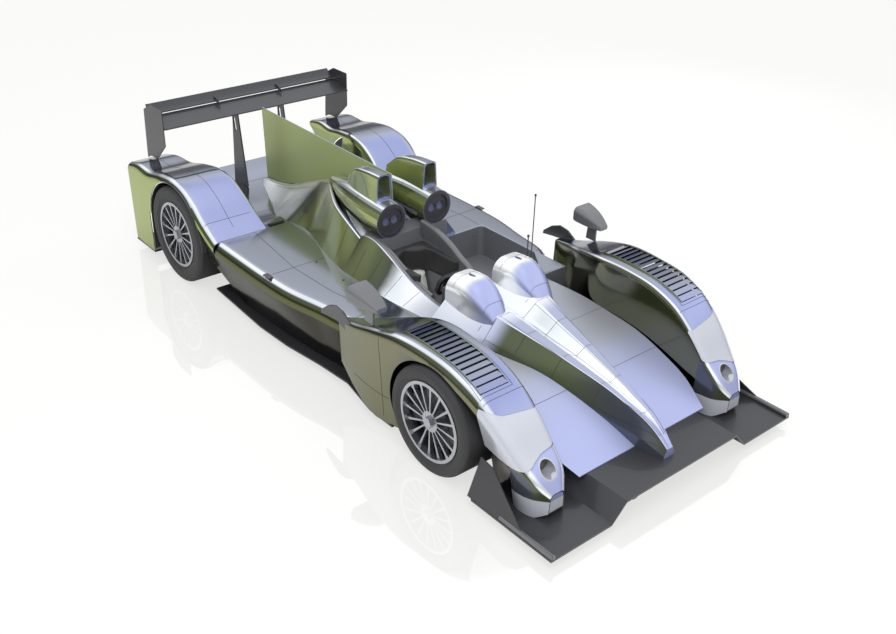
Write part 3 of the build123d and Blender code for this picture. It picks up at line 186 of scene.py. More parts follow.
def bodywork(name, side, under, metallic=1.0, roughness=0.13, pale_behind=None):
    """Mirror-like silver with painted reflections, highlights and shade chosen by the way each face
    points: a grey painted reflection on top and a lavender one to the front, a painted white highlight
    and dark band on rounded shoulders, the side's painted reflection to the side, painted shade below,
    and a pale painted highlight on the nose behind pale_behind.
    """
    material, shader = new_shader(name, (0.5, 0.5, 0.5), metallic, roughness)
    surface = node(material, "ShaderNodeNewGeometry")
    facing = separate(material, surface.outputs["Normal"])
    sideways = node(material, "ShaderNodeMath", operation="ABSOLUTE")
    link(material, facing["X"], sideways.inputs[0])
    # Painted white highlight and dark band on rounded shoulders, then the side's painted reflection.
    stops = PAINTED_SIDE_REFLECTIONS + ((FULL_SIDE, side, 1.0), (1.0, side, 1.0))
    side_reflections = color_ramp(material, sideways.outputs[0], stops)
    # Painted reflection: grey on top, lavender on faces that point forward.
    to_front = ramp(material, negative(material, facing["Y"]), *FRONT_REFLECTION_FACING)
    top = blend_color(material, to_front, TOP_REFLECTION_GREY, FRONT_REFLECTION_LAVENDER)
    sides = blend_color(material, side_reflections.outputs["Alpha"], top, side_reflections.outputs["Color"])
    # Painted shade on faces that point down.
    to_floor = ramp(material, negative(material, facing["Z"]), *UNDER_SHADE_FACING)
    color = blend_color(material, to_floor, sides, under)
    if pale_behind is not None:
        # Pale painted highlight on the nose behind pale_behind, on faces that don't point forward.
        along = separate(material, surface.outputs["Position"])["Y"]
        behind = ramp(material, along, pale_behind, pale_behind + PALE_FADE)
        pale = blend_color(material, to_front, PALE_HIGHLIGHT, top)
        color = blend_color(material, behind, color, pale)
    link(material, color, shader.inputs["Base Color"])
    return material


# The darkest grain of a plain material, as a share of its colour.
GRAIN_SHADE = 0.82


def plain(name, color, metallic, roughness, scale, strength, distance, coat=0.0):
    """A material of one colour with fine relief and a little variation of tone."""
    material, shader = new_shader(name, color, metallic, roughness, coat)
    grain = speckle(material, shader, scale, strength, distance)
    darker = tuple(GRAIN_SHADE * part for part in color)
    link(material, blend_color(material, grain, darker, color), shader.inputs["Base Color"])
    return material


# slot: colour, metallic, roughness, grain scale, relief, depth, clear coat
PLAIN = {
    "black_composite": ((0.030, 0.030, 0.034), 0.0, 0.38, 900, 0.10, 0.0004, 0.3),
    "tub_composite": ((0.20, 0.21, 0.23), 0.3, 0.42, 600, 0.15, 0.0004, 0.2),
    "dark_composite": ((0.035, 0.035, 0.040), 0.0, 0.32, 600, 0.15, 0.0004, 0.4),
    "headlight_cover": ((0.50, 0.52, 0.58), 0.1, 0.16, 500, 0.04, 0.0003, 0.6),
    "tyre_rubber": ((0.030, 0.030, 0.032), 0.0, 0.62, 700, 0.25, 0.0006, 0.0),
    "rim_metal": ((0.46, 0.47, 0.50), 0.95, 0.24, 900, 0.08, 0.0003, 0.0),
    "disc_iron": ((0.22, 0.22, 0.23), 0.9, 0.42, 500, 0.15, 0.0004, 0.0),
    "engine_metal": ((0.25, 0.25, 0.26), 0.8, 0.5, 200, 0.4, 0.001, 0.0),
    "cast_metal": ((0.28, 0.28, 0.30), 0.8, 0.5, 250, 0.4, 0.001, 0.0),
    "steel": ((0.16, 0.165, 0.18), 0.8, 0.38, 500, 0.1, 0.0003, 0.0),
    "seat_cloth": ((0.66, 0.65, 0.63), 0.0, 0.85, 1400, 0.35, 0.0006, 0.0),
    "dark_foam": ((0.035, 0.035, 0.037), 0.0, 0.5, 300, 0.2, 0.0005, 0.0),
    "grip_rubber": ((0.020, 0.020, 0.022), 0.0, 0.55, 500, 0.3, 0.0005, 0.0),
    "grey_shell": ((0.16, 0.165, 0.175), 0.4, 0.30, 500, 0.06, 0.0003, 0.4),
    "red_lens": ((0.45, 0.02, 0.02), 0.0, 0.2, 300, 0.1, 0.0003, 0.5),
    "lamp": ((0.6, 0.62, 0.66), 0.6, 0.12, 300, 0.05, 0.0003, 0.5),
}

paints = {slot: plain(slot, *values) for slot, values in PLAIN.items()}
DARK = paints["dark_composite"]
PALE_COVER = paints["headlight_cover"]
GREY = paints["grey_shell"]
LINE = plain("panel_line", (0.02, 0.02, 0.025), 0.0, 0.5, 300, 0.05, 0.0002)

# Bodywork materials, each with the colour of its painted side reflection and of its painted shade
# below. The side pods get a near-black painted reflection, and the deck and nose a dark painted
# reflection and shade on their sides and undersides.
SILVER = bodywork("silver_bodywork", side=SIDE_REFLECTION_OLIVE, under=(0.17, 0.155, 0.135))
POD_PAINT = bodywork("silver_side_pods", side=(0.12, 0.13, 0.06), under=(0.035, 0.033, 0.022))
FENDER_PAINT = bodywork("silver_front_fenders", side=(0.20, 0.20, 0.13), under=(0.15, 0.14, 0.12))
DECK_PAINT = bodywork("silver_front_deck", DARK_REFLECTION_AND_SHADE, DARK_REFLECTION_AND_SHADE, metallic=0.45, roughness=0.38)
NOSE_PAINT = bodywork("silver_nose", DARK_REFLECTION_AND_SHADE, DARK_REFLECTION_AND_SHADE, metallic=0.6, roughness=0.18, pale_behind=-1.12)
# Painted olive reflection on the sides of the engine cover, and painted shade under it.
COVER_SIDE_REFLECTION = (0.38, 0.43, 0.18)
COVER_UNDER_SHADE = (0.12, 0.12, 0.06)
COVER_PAINT = bodywork("silver_engine_cover", COVER_SIDE_REFLECTION, COVER_UNDER_SHADE, metallic=0.8, roughness=0.2)
# Painted olive reflection on the sides of the fin.
FIN_SIDE_REFLECTION = (0.34, 0.40, 0.17)
FIN_PAINT = bodywork("silver_fin", FIN_SIDE_REFLECTION, COVER_UNDER_SHADE, metallic=0.35, roughness=0.35)
paints["silver_bodywork"] = SILVER

# Geometry helpers.
# Steps round a corner of an outline, and along the straight between two corners.
ARC_STEPS = 7
SIDE_STEPS = 4
# Every corner gets at least this radius, and counts as open by at least this half angle.
LEAST_RADIUS = 0.4
LEAST_HALF_ANGLE = 0.02


def new_object(name, data):
    """Object in the scene, made from a mesh, a light or a camera."""
    made = bpy.data.objects.new(name, data)
    bpy.context.scene.collection.objects.link(made)
    return made


def rounded(corners):
    """Points round a closed outline, as many for any sizes. Each corner is a, b, radius."""
    turns = []
    for index, (a, b, radius) in enumerate(corners):
        corner = Vector((a, b))
        before = (Vector(corners[index - 1][:2]) - corner).normalized()
        after = (Vector(corners[(index + 1) % len(corners)][:2]) - corner).normalized()
        half = max(before.angle(after) / 2, LEAST_HALF_ANGLE)
        reach = max(radius, LEAST_RADIUS)
        middle = corner + (before + after).normalized() * (reach / math.sin(half))
        start = corner + before * (reach / math.tan(half))
        end = corner + after * (reach / math.tan(half))
        arc = []
        for step in range(ARC_STEPS + 1):
            share = step / ARC_STEPS
            spoke = (start - middle).lerp(end - middle, share)
            arc.append(middle + spoke.normalized() * (start - middle).length)
        turns.append(arc)
    points = []
    for index, arc in enumerate(turns):
        points += arc
        following = turns[(index + 1) % len(turns)][0]
        points += [arc[-1].lerp(following, k / SIDE_STEPS) for k in range(1, SIDE_STEPS)]
    return points


def curve_through(stations, values, at):
    """Smooth value at one station. Slopes are those of a curve through the neighbours."""
    last = len(stations) - 1
    index = 0
    while index < last - 1 and at > stations[index + 1]:
        index += 1
    width = stations[index + 1] - stations[index]
    share = min(max((at - stations[index]) / width, 0), 1)

    def slope(i):
        """Slope of the curve at one station."""
        if i == 0:
            return (values[1] - values[0]) / (stations[1] - stations[0])
        if i == last:
            return (values[last] - values[last - 1]) / (stations[last] - stations[last - 1])
        ahead = (values[i + 1] - values[i]) / (stations[i + 1] - stations[i])
        behind = (values[i] - values[i - 1]) / (stations[i] - stations[i - 1])
        room = stations[i + 1] - stations[i - 1]
        weight = (stations[i + 1] - stations[i]) / room
        return ahead * (1 - weight) + behind * weight

    square, cube = share * share, share**3
    return (
        values[index] * (2 * cube - 3 * square + 1)
        + values[index + 1] * (3 * square - 2 * cube)
        + (cube - 2 * square + share) * width * slope(index)
        + (cube - square) * width * slope(index + 1)
    )


def fine_rows(rows, step):
    """Rows of numbers, the first being the station, filled in smoothly at a small step."""
    stations = [row[0] for row in rows]
    count = max(2, math.ceil((stations[-1] - stations[0]) / step))
    spots = {stations[0] + (stations[-1] - stations[0]) * k / count for k in range(count + 1)}
    filled = []
    for at in sorted(spots):
        filled.append((at,) + tuple(
            curve_through(stations, [row[column] for row in rows], at)
            for column in range(1, len(rows[0]))
        ))
    return filled


def make_piece(name, points, faces, paint):
    """Mesh object from points in millimetres, with a material."""
    mesh = bpy.data.meshes.new(name)
    mesh.from_pydata([tuple(MM * part for part in point) for point in points], [], faces)
    mesh.validate()
    mesh.materials.append(paint)
    return new_object(name, mesh)


def smooth(piece, degrees=SHARP_ANGLE):
    """Smooth shading, sharp where faces meet at more than an angle."""
    mesh = piece.data
    mesh.polygons.foreach_set("use_smooth", [True] * len(mesh.polygons))
    mesh.set_sharp_from_angle(angle=math.radians(degrees))
    return piece


def outward(piece):
    """Turns a closed mesh's faces outwards."""
    bm = bmesh.new()
    bm.from_mesh(piece.data)
    bmesh.ops.recalc_face_normals(bm, faces=bm.faces)
    if bm.calc_volume(signed=True) < 0:
        bmesh.ops.reverse_faces(bm, faces=bm.faces)
    bm.to_mesh(piece.data)
    bm.free()
    return piece


def lofted(name, outlines, paint=DARK):
    """Closed body through outlines along the car. Each is y and its corners (x, z, radius)."""
    rings = [[(p.x, y, p.y) for p in rounded(corners)] for y, corners in outlines]
    size = len(rings[0])
    faces = []
    for row in range(len(rings) - 1):
        for k in range(size):
            following = (k + 1) % size
            faces.append((
                row * size + k,
                row * size + following,
                (row + 1) * size + following,
                (row + 1) * size + k,
            ))
    faces.append(tuple(range(size - 1, -1, -1)))
    faces.append(tuple((len(rings) - 1) * size + k for k in range(size)))
    points = [point for ring in rings for point in ring]
    return outward(make_piece(name, points, faces, paint))


def on_axis(axis, a, b, along):
    """Point from its place in an outline and its place along the axis."""
    return {"X": (along, a, b), "Y": (a, along, b), "Z": (a, b, along)}[axis]


def prism(name, outline, axis, start, end, paint=DARK):
    """Straight body: an outline of (a, b) pairs in mm, drawn along X, Y or Z."""
    count = len(outline)
    points = [on_axis(axis, a, b, along) for along in (start, end) for a, b in outline]
    faces = [tuple(range(count - 1, -1, -1)), tuple(range(count, 2 * count))]
    faces += [(k, (k + 1) % count, count + (k + 1) % count, count + k) for k in range(count)]
    return outward(make_piece(name, points, faces, paint))


def ellipse(a, b, half_a, half_b, steps=48):
    """Points round an ellipse about (a, b)."""
    return [
        (a + half_a * math.cos(math.tau * k / steps), b + half_b * math.sin(math.tau * k / steps))
        for k in range(steps)
    ]


def circle(a, b, radius, steps=48):
    """Points round a circle about (a, b)."""
    return ellipse(a, b, radius, radius, steps)


def box_outline(a_low, a_high, b_low, b_high):
    """Corners of a rectangle."""
    return [(a_low, b_low), (a_high, b_low), (a_high, b_high), (a_low, b_high)]


def carve(piece, cutters, operation="DIFFERENCE"):
    """Cuts bodies away from a piece, joins them to it or keeps what they share.

    The bodies are then removed. Faces that they leave take the piece's material with the
    same index, so a cutter's own paint doesn't show.
    """
    for cutter in cutters:
        change = piece.modifiers.new("cut", "BOOLEAN")
        change.operation = operation
        change.solver = "EXACT"
        change.object = cutter
    graph = bpy.context.evaluated_depsgraph_get()
    shaped = bpy.data.meshes.new_from_object(piece.evaluated_get(graph))
    piece.modifiers.clear()
    piece.data = shaped
    for cutter in cutters:
        bpy.data.objects.remove(cutter)
    return piece


def lined(core):
    """Marks a cutter so that the faces it leaves take the piece's second, dark material, which is
    painted shade on the inside of a hollow skin.
    """
    core.data.materials.append(DARK)
    core.data.polygons.foreach_set("material_index", [1] * len(core.data.polygons))
    return core


def mirrored(piece, name):
    """Copy of a piece on the car's other side."""
    copy = new_object(name, piece.data.copy())
    copy.data.transform(Matrix.Scale(-1, 4, (1, 0, 0)))
    copy.data.flip_normals()
    return copy


# Paint on the CAD nodes.
# A face of the tub's deck has a normal that points up at least this much.
LEVEL = 0.9
# Parts of the tub that show as bodywork, in metres: the driver's rail and the deck beside it.
RAIL_INNER_X = -0.325
RAIL_LOW_Z = 0.47
TUB_DECK_X = 0.2
TUB_DECK_Z = 0.465


def paint_nodes():
    """Gives every CAD node the material of its slot."""
    for part in frame["record"]["subparts"]:
        piece = frame["nodes"][part["node"]]
        piece.data.materials.clear()
        piece.data.materials.append(paints[part["material_slot"]])
        smooth(piece)
    frame["nodes"]["shark_fin"].data.materials[0] = FIN_PAINT


def paint_tub():
    """Shows the tub as bodywork on the driver's rail and on the deck round the cockpit."""
    tub = frame["nodes"]["tub"].data
    tub.materials.append(COVER_PAINT)
    for face in tub.polygons:
        on_rail = face.center.x < RAIL_INNER_X and face.center.z > RAIL_LOW_Z
        on_deck = face.center.x > TUB_DECK_X and face.center.z > TUB_DECK_Z
        if on_rail or (on_deck and face.normal.z > LEVEL):
            face.material_index = 1


paint_nodes()
paint_tub()

# Fenders. Columns: y from the axle, outer x low and high, inner x low and high, low z,
# top z, outer radius, inner radius.
FRONT_FENDER = (
    (-762, 800, 792, 688, 694, 100, 215, 30, 30),
    (-700, 842, 850, 628, 642, BASE, 292, 45, 40),
    (-610, 862, 898, 600, 625, BASE, 380, 60, 40),
    (-500, 830, 940, 592, 622, BASE, 500, 70, 40),
    (-360, 795, 968, 588, 622, BASE, 615, 70, 40),
    (-180, 790, 983, 588, 622, BASE, 693, 64, 36),
    (60, 800, 986, 588, 622, BASE, 724, 60, 34),
    (300, 900, 984, 590, 628, BASE, 716, 56, 34),
    (520, 945, 976, 668, 706, BASE, 660, 50, 34),
    (720, 938, 956, 780, 806, 130, 592, 40, 28),
    (906, 914, 926, 868, 876, 240, 537, 16, 12),
)
REAR_FENDER = (
    (-514.7, 858, 985, 532, 536, BASE, 476, 56, 6),
    (-405, 880, 990, 533, 540, BASE, 556, 60, 20),
    (-281, 920, 993, 534, 546, BASE, 660, 66, 40),
    (-140, 955, 994, 535, 550, BASE, 738, 66, 46),
    (0, 970, 994, 538, 556, BASE, 767, 66, 46),
    (180, 975, 992, 556, 574, BASE, 752, 64, 44),
    (390, 975, 988, 592, 606, BASE, 712, 60, 40),
    (560, 975, 984, 616, 628, BASE, 714, 54, 34),
    (715, 972, 980, 634, 642, BASE, 678, 46, 26),
)
# The rows of the front fender that the headlight cover and the bands at its tip follow.
LAMP_ROWS = FRONT_FENDER[:6]
TIP_ROWS = FRONT_FENDER[:5]
TIP_STEP = 12
# Ahead of every fender.
PAST_NOSE = -2600

# Headlight window of the left fender, seen from the front: x, z, radius.
LAMP_WINDOW = (
    (622, 384, 15),
    (735, 372, 30),
    (800, 352, 40),
    (880, 322, 60),
    (950, 352, 50),
    (975, 480, 60),
    (972, 598, 12),
    (850, 556, 80),
    (622, 532, 12),
)
LAMP_MIDDLE = Vector((800, 480))
LAMP_BACK = -1645
LAMP_GAP = 1.2
# Brake duct beside the lamp: its middle, its mouth and the bore of its lining.
DUCT = (742, 312)
DUCT_MOUTH = ellipse(*DUCT, 54, 46)
DUCT_BORE = ellipse(*DUCT, 47, 39)
# Pale foot of the tip, and the band between it and the lamp, seen from the front.
TIP_FOOT = box_outline(560, 1010, 58, 176)
TIP_BAND = [
    (560, 176), (1010, 176), (1010, 346), (955, 344), (925, 326), (880, 317),
    (838, 328), (800, 346), (735, 367), (622, 379), (560, 379),
]
# The duct, the foot and the band end here.
TIP_BACK = -1860
# Disc inside the duct: its outline and its two faces.
DISC = ellipse(*DUCT, 46, 38)
DISC_FACES = (-1930, -1924)


def fender_outlines(rows, axle, inset, step=16):
    """Sections of a fender, drawn in by an inset."""
    outlines = []
    for row in fine_rows(rows, step):
        along, out_low, out_top, in_low, in_top, low_z, top, out_turn, in_turn = row
        outlines.append((axle + along, (
            (in_low + inset, low_z + inset, 0),
            (out_low - inset, low_z + inset, 0),
            (out_top - inset, top - inset, out_turn),
            (in_top + inset, top - inset, in_turn),
        )))
    return outlines


def lamp_outline(inset):
    """Outline of the headlight window seen from the front, drawn in by an inset."""
    points = []
    for point in rounded(LAMP_WINDOW):
        inward = (LAMP_MIDDLE - point).normalized()
        points.append(tuple(point + inward * inset))
    return points


# Openings of the left front fender: outline, the axis it is drawn along, start and end.
FRONT_OPENINGS = {
    "arch": (circle(FRONT_AXLE, 285, 385, 96), "X", 660, PAST_SIDE),
    "arms": (box_outline(-1420, -1180, 130, 340), "X", 570, 650),
    "lid": (box_outline(703.7, 900.3, -1618.3, -977.7), "Z", 500, 900),
    "outlet": (box_outline(880.5, 901.5, 265, 515), "Y", -404, -384),
    "under": (box_outline(500, 1100, -2300, -300), "Z", 0, BASE),
    "duct": (DUCT_MOUTH, "Y", PAST_NOSE, TIP_BACK),
    "lamp": (lamp_outline(0), "Y", PAST_NOSE, LAMP_BACK),
}
# Space under the body ahead of the rear wheels, seen from the side.
LIFT = [(850, 0), (850, BASE), (1182, 330), (1570, 330), (1570, 0)]
# Openings of the left rear fender, in the same way.
REAR_OPENINGS = {
    "front_end": (box_outline(540, 850, 70, 468), "Y", 1040, 1070),
    "back_end": (box_outline(650, 960, 70, 640), "Y", 2270, 2300),
    "arch": (circle(REAR_AXLE, 355, 388, 96), "X", 566, PAST_SIDE),
    "rear_arch": (box_outline(REAR_AXLE, REAR_AXLE + 415, 0, 388), "X", 566, PAST_SIDE),
    "lift": (LIFT, "X", 400, PAST_SIDE),
}


def fender(name, rows, axle, paint, openings):
    """Left fender: a hollow skin with its openings cut through."""
    shell = lofted(name, fender_outlines(rows, axle, 0), paint)
    # Painted shade: the inside of the skin, seen through the wheel arch, takes this dark second
    # material.
    shell.data.materials.append(DARK)
    core = lined(lofted("core", fender_outlines(rows, axle, SKIN)))
    cuts = [prism(word, *opening) for word, opening in openings.items()]
    return smooth(carve(shell, [core] + cuts))


def headlight_cover():
    """Left headlight cover: the fender's skin within the lamp window."""
    outside = fender_outlines(LAMP_ROWS, FRONT_AXLE, 0, TIP_STEP)
    inside = fender_outlines(LAMP_ROWS, FRONT_AXLE, SKIN, TIP_STEP)
    shell = lofted("headlight_cover_left", outside, PALE_COVER)
    carve(shell, [lofted("core", inside)])
    window = prism("window", lamp_outline(LAMP_GAP), "Y", PAST_NOSE, LAMP_BACK - 1)
    return smooth(carve(shell, [window], "INTERSECT"))


def fender_band(name, outline, grow, paint, hole=None):
    """Left front fender's tip within an outline seen from the front, grown by some mm."""
    band = lofted(name, fender_outlines(TIP_ROWS, FRONT_AXLE, -grow, TIP_STEP), paint)
    carve(band, [prism("keep", outline, "Y", PAST_NOSE, TIP_BACK)], "INTERSECT")
    if hole:
        carve(band, [prism("hole", hole, "Y", PAST_NOSE, TIP_BACK + 60)])
    return smooth(band)


def fender_tip():
    """Pale foot, dark band and lined duct at the tip of the left front fender."""
    foot = fender_band("fender_foot", TIP_FOOT, 0.8, PALE_COVER)
    band = fender_band("fender_band", TIP_BAND, 0.5, NOSE_PAINT, DUCT_MOUTH)
    lining = fender_band("duct_lining", DUCT_MOUTH, 0, paints["lamp"], DUCT_BORE)
    disc = prism("duct_disc", DISC, "Y", *DISC_FACES)
    return [foot, band, lining, disc]


def put(piece, *nodes):
    """A piece that rides on the chassis in place of CAD nodes."""
    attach(piece, "chassis")
    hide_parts(*nodes)
    return piece


def on_both_sides(piece):
    """A piece on the chassis, and its mirror image on the car's other side."""
    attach(piece, "chassis")
    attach(mirrored(piece, piece.name + "_right"), "chassis")


def add_fenders():
    """Both pairs of fenders, with the covers and the bands at the tips of the front ones."""
    front = fender("fender_front_left", FRONT_FENDER, FRONT_AXLE, FENDER_PAINT, FRONT_OPENINGS)
    front_right = mirrored(front, "fender_front_right")
    put(front, "front_fender_left")
    put(front_right, "front_fender_right")
    rear = fender("fender_rear_left", REAR_FENDER, REAR_AXLE, SILVER, REAR_OPENINGS)
    rear_right = mirrored(rear, "fender_rear_right")
    put(rear, "rear_fender_left")
    put(rear_right, "rear_fender_right")
    for piece in fender_tip():
        on_both_sides(piece)
    lamp_cover = headlight_cover()
    lamp_cover_right = mirrored(lamp_cover, "headlight_cover_right")
    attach(lamp_cover, "chassis")
    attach(lamp_cover_right, "chassis")
    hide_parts("headlight_covers")


add_fenders()

# Nose. Columns: y from the axle, half foot, shoulder z, crest x and z, half crest, valley z, turn.
NOSE_FOOT = 165.3
NOSE = (
    (-880, 42, 180, 17, 222, 6, 219, 3),
    (-800, 62, 215, 26, 292, 9, 286, 4),
    (-552, 112, 262, 48, 392, 14, 376, 6),
    (-239, 190, 345, 84, 468, 24, 438, 9),
    (90, 275, 402, 128, 534, 40, 470, 12),
    (350, 350, 436, 172, 586, 56, 500, 14),
    (659.7, 440, 462, 192, 610, 84, 540, 16),
)
# Humps ahead of the two seats. Columns: y from the axle, half width, top z, turn.
HUMP_FOOT = 440
HUMP = (
    (300, 62, 570, 40),
    (360, 88, 640, 60),
    (430, 108, 700, 76),
    (505, 120, 736, 88),
    (580, 126, 738, 92),
    (659.7, 128, 728, 94),
)
# Slot on top of each hump, seen from above, and the heights between which it is cut.
SLOT_Y = -735
SLOT_HALF = (12, 31)
SLOT_HEIGHTS = (620, 820)
# Front deck. Columns: y from the axle, half width, top z.
FRONT_DECK = (
    (-705, 520, 171.3),
    (-527, 575, 252),
    (-300, 590, 335),
    (-99, 598, 385),
    (137, 600, 408),
    (350, 600, 422),
    (659.7, 560, 440),
)
DECK_SKIN = 6
# Deeper than the nose is high, so that the body under the deck reaches below it everywhere.
FAR_BELOW = 480
# The nose is hollow from this section on.
FIRST_HOLLOW = 10


def both(half):
    """Closed outline from its left half, from the foot up to the middle, and its mirror image."""
    return tuple(half) + tuple((-x, z, turn) for x, z, turn in reversed(half) if x > 0)


def nose_outlines(inset):
    """Sections of the nose with its two ridges."""
    outlines = []
    for along, foot, shoulder, crest_x, crest_z, crest, valley, turn in fine_rows(NOSE, 24):
        outlines.append((FRONT_AXLE + along, both((
            (foot - inset, NOSE_FOOT - inset, 0),
            (foot - inset, shoulder - inset, 6),
            (crest_x + crest - inset / 2, crest_z - inset, turn),
            (crest_x - crest + inset / 2, crest_z - inset, turn),
            (0, valley - inset, turn),
        ))))
    return outlines


def hump_outlines(middle, inset):
    """Sections of one hump."""
    outlines = []
    for along, half, top, turn in fine_rows(HUMP, 12):
        radius = min(turn, half - inset - 3)
        outlines.append((FRONT_AXLE + along, (
            (middle - half + inset, HUMP_FOOT, 0),
            (middle + half - inset, HUMP_FOOT, 0),
            (middle + half - inset, top - inset, radius),
            (middle - half + inset, top - inset, radius),
        )))
    return outlines


def deck_outlines(depth, lift=0):
    """Sections of the front deck, its top raised by a lift."""
    outlines = []
    for along, half, z in fine_rows(FRONT_DECK, 24):
        low_z, top = z - depth, z + lift
        outlines.append((FRONT_AXLE + along, (
            (-half, low_z, 0), (half, low_z, 0), (half, top, 0), (-half, top, 0),
        )))
    return outlines


def nose():
    """Ridged nose and its two humps, hollow, open to the cockpit."""
    ridge = lofted("nose_ridge", nose_outlines(0), NOSE_PAINT)
    for side in (-1, 1):
        dome = lofted("dome", hump_outlines(SEAT_X * side, 0))
        carve(ridge, [dome], "UNION")
    cuts = [lofted("hollow", nose_outlines(SKIN)[FIRST_HOLLOW:])]
    for side in (-1, 1):
        cuts.append(lofted("inside", hump_outlines(SEAT_X * side, SKIN)))
        slot = ellipse(SEAT_X * side, SLOT_Y, *SLOT_HALF, 24)
        cuts.append(prism("slot", slot, "Z", *SLOT_HEIGHTS))
    carve(ridge, cuts)
    below = lofted("below", deck_outlines(FAR_BELOW, TRIM_GAP))
    return smooth(carve(ridge, [below]))


def front_deck():
    """Flat deck between the nose and the front fenders."""
    return smooth(lofted("front_deck_skin", deck_outlines(DECK_SKIN), DECK_PAINT))


# Side pod. Columns: y, outer x low and at the deck.
POD = (
    (-639.7, 570, 650),
    (-357, 752, 857),
    (-75, 811, 910),
    (207, 835, 972),
    (490, 850, 988),
    (773, 856, 988),
    (1055, 858, 985),
)
POD_SHOULDER = 80
POD_INNER = 300
# Cutters of the pods reach this far inwards, forwards and up.
CUT_INNER = 200
CUT_FRONT = -700
CUT_TOP = 600
# Inner side of each pod beside the tub. The driver's pod reaches further in.
POD_TUB_X = {"left": 735.3, "right": 489.7}
# Air mouth of the driver's pod: outer x, low and high z, and its back.
MOUTH_X = 640
MOUTH_Z = (102, 435)
MOUTH_BACK = -480
MOUTH_WALL = 10
# Engine cover: y, half foot, foot z, rail x and z, valley x and z, half spine and z, turn.
COVER = (
    (200.3, 485, DECK, 330, 684, 225, 520, 90, 560, 20),
    (377, 455, DECK, 326, 766, 225, 570, 80, 690, 20),
    (540, 415, DECK, 294, 798, 200, 640, 66, 765, 18),
    (700, 365, DECK, 220, 808, 160, 725, 48, 802, 14),
    (850, 330, DECK, 140, 800, 108, 772, 38, 800, 10),
    (960, 332, DECK, 108, 762, 82, 748, 32, 764, 8),
    (1074, 352, DECK, 84, 712, 62, 704, 26, 716, 6),
    (1260, 330, DECK - 35, 70, 632, 52, 624, 22, 636, 5),
    (1442, 250, 432, 58, 550, 44, 544, 18, 554, 4),
    (1660, 160, 428, 46, 484, 34, 480, 15, 488, 3),
    (1914, 60, 424, 34, 446, 26, 444, 12, 448, 2),
)
COVER_FRONT = COVER[0][0]
COVER_END = COVER[-1][0]
# Round fairing behind each seat. Columns: y, x, z, radius.
BARREL = (
    (60, SEAT_X, 800, 118),
    (200, SEAT_X, 806, 122),
    (480, 165, 812, 108),
    (760, 102, 790, 68),
    (900, 62, 772, 38),
)
# Scoop on each fairing. Columns: y, x, half foot, half top, top z, turn.
SCOOP = (
    (140, SEAT_X, 64, 50, 1092, 28),
    (300, 186, 64, 46, 1080, 28),
    (440, 174, 56, 38, 1045, 24),
    (545, 160, 40, 22, 965, 14),
)
SCOOP_FOOT = 850
SCOOP_WALL = 9
# Where the scoops are open, from the side, and the fairing under them, from the front.
SCOOP_OPEN = box_outline(60, 270, 700, 1200)
FAIRING_Z = 806
FAIRING_RADIUS = 136
# Round recess in the front of each fairing.
RECESS_Z = 800
RECESS_RADIUS = 113
RECESS_BACK = 86
PAST_FAIRING = 50
# Depth of the cover's edge below its foot, and where the cut for it starts in the pods.
COVER_HEM = 60
FOOT_START = 190
# Rear deck. Columns: y, half width, z at the sides and in the middle.
REAR_DECK = (
    (1055.3, 545, DECK, DECK - 2),
    (1170, 545, 472, 470),
    (1260, 545, 444, 442),
    (1600, 560, 430, 425),
    (1960, 620, 470, 430),
    (2130, 640, 560, 450),
    (2280, 650, 650, 465),
)
# The middle of the rear deck is level over this share of its width, with rounded sides.
LEVEL_SHARE = 0.45
LEVEL_TURN = 60


def cover_foot():
    """Left edge of the engine cover's foot from above, with the gap round it: x, y."""
    return [(row[1] + TRIM_GAP, row[0]) for row in fine_rows(COVER, 40)]


def pod(word, sign):
    """Side pod with a flat deck, cut round the tub and the engine cover."""
    inner = POD_TUB_X[word]
    outlines = []
    for y, low_x, deck_x in fine_rows(POD, 16):
        outlines.append((y, (
            (sign * POD_INNER, BASE, 0),
            (sign * low_x, BASE, 0),
            (sign * deck_x, DECK, POD_SHOULDER),
            (sign * POD_INNER, DECK, 0),
        )))
    body = lofted("side_pod_" + word, outlines, POD_PAINT)
    foot = [(sign * x, y) for x, y in cover_foot()]
    foot = [(sign * CUT_INNER, FOOT_START)] + foot + [(sign * CUT_INNER, COVER_END)]
    tub = box_outline(sign * inner, sign * CUT_INNER, CUT_FRONT, COVER_FRONT)
    side_limits = sorted((sign * POD_INNER, sign * PAST_SIDE))
    cuts = [
        prism("foot", foot, "Z", 0, CUT_TOP),
        prism("tub", tub, "Z", 0, CUT_TOP),
        prism("lift", LIFT, "X", *side_limits),
    ]
    if word == "right":
        mouth = box_outline(sign * (inner + MOUTH_WALL), sign * MOUTH_X, *MOUTH_Z)
        cuts.append(prism("mouth", mouth, "Y", CUT_FRONT, MOUTH_BACK))
    return smooth(carve(body, cuts))


def scoop_outlines(side, inset):
    """Sections of the scoop on one side."""
    outlines = []
    for y, x, foot, top_half, top, turn in fine_rows(SCOOP, 20):
        outlines.append((y, (
            (side * x - foot + inset, SCOOP_FOOT, 0),
            (side * x + foot - inset, SCOOP_FOOT, 0),
            (side * x + top_half - inset, top - inset, turn),
            (side * x - top_half + inset, top - inset, turn),
        )))
    return outlines


def barrel(side):
    """Round fairing behind one seat."""
    outlines = []
    for y, x, z, radius in fine_rows(BARREL, 25):
        outlines.append((y, tuple((a, b, 0) for a, b in circle(side * x, z, radius, 40))))
    return lofted("barrel", outlines)


def scoop_mouth(side):
    """Space inside the front half of a scoop, kept out of the fairing below it."""
    mouth = lofted("mouth", scoop_outlines(side, SCOOP_WALL))
    front_half = prism("front_half", SCOOP_OPEN, "X", -400, 400)
    carve(mouth, [front_half], "INTERSECT")
    fairing = circle(side * SEAT_X, FAIRING_Z, FAIRING_RADIUS)
    return carve(mouth, [prism("keep", fairing, "Y", PAST_FAIRING, 400)])


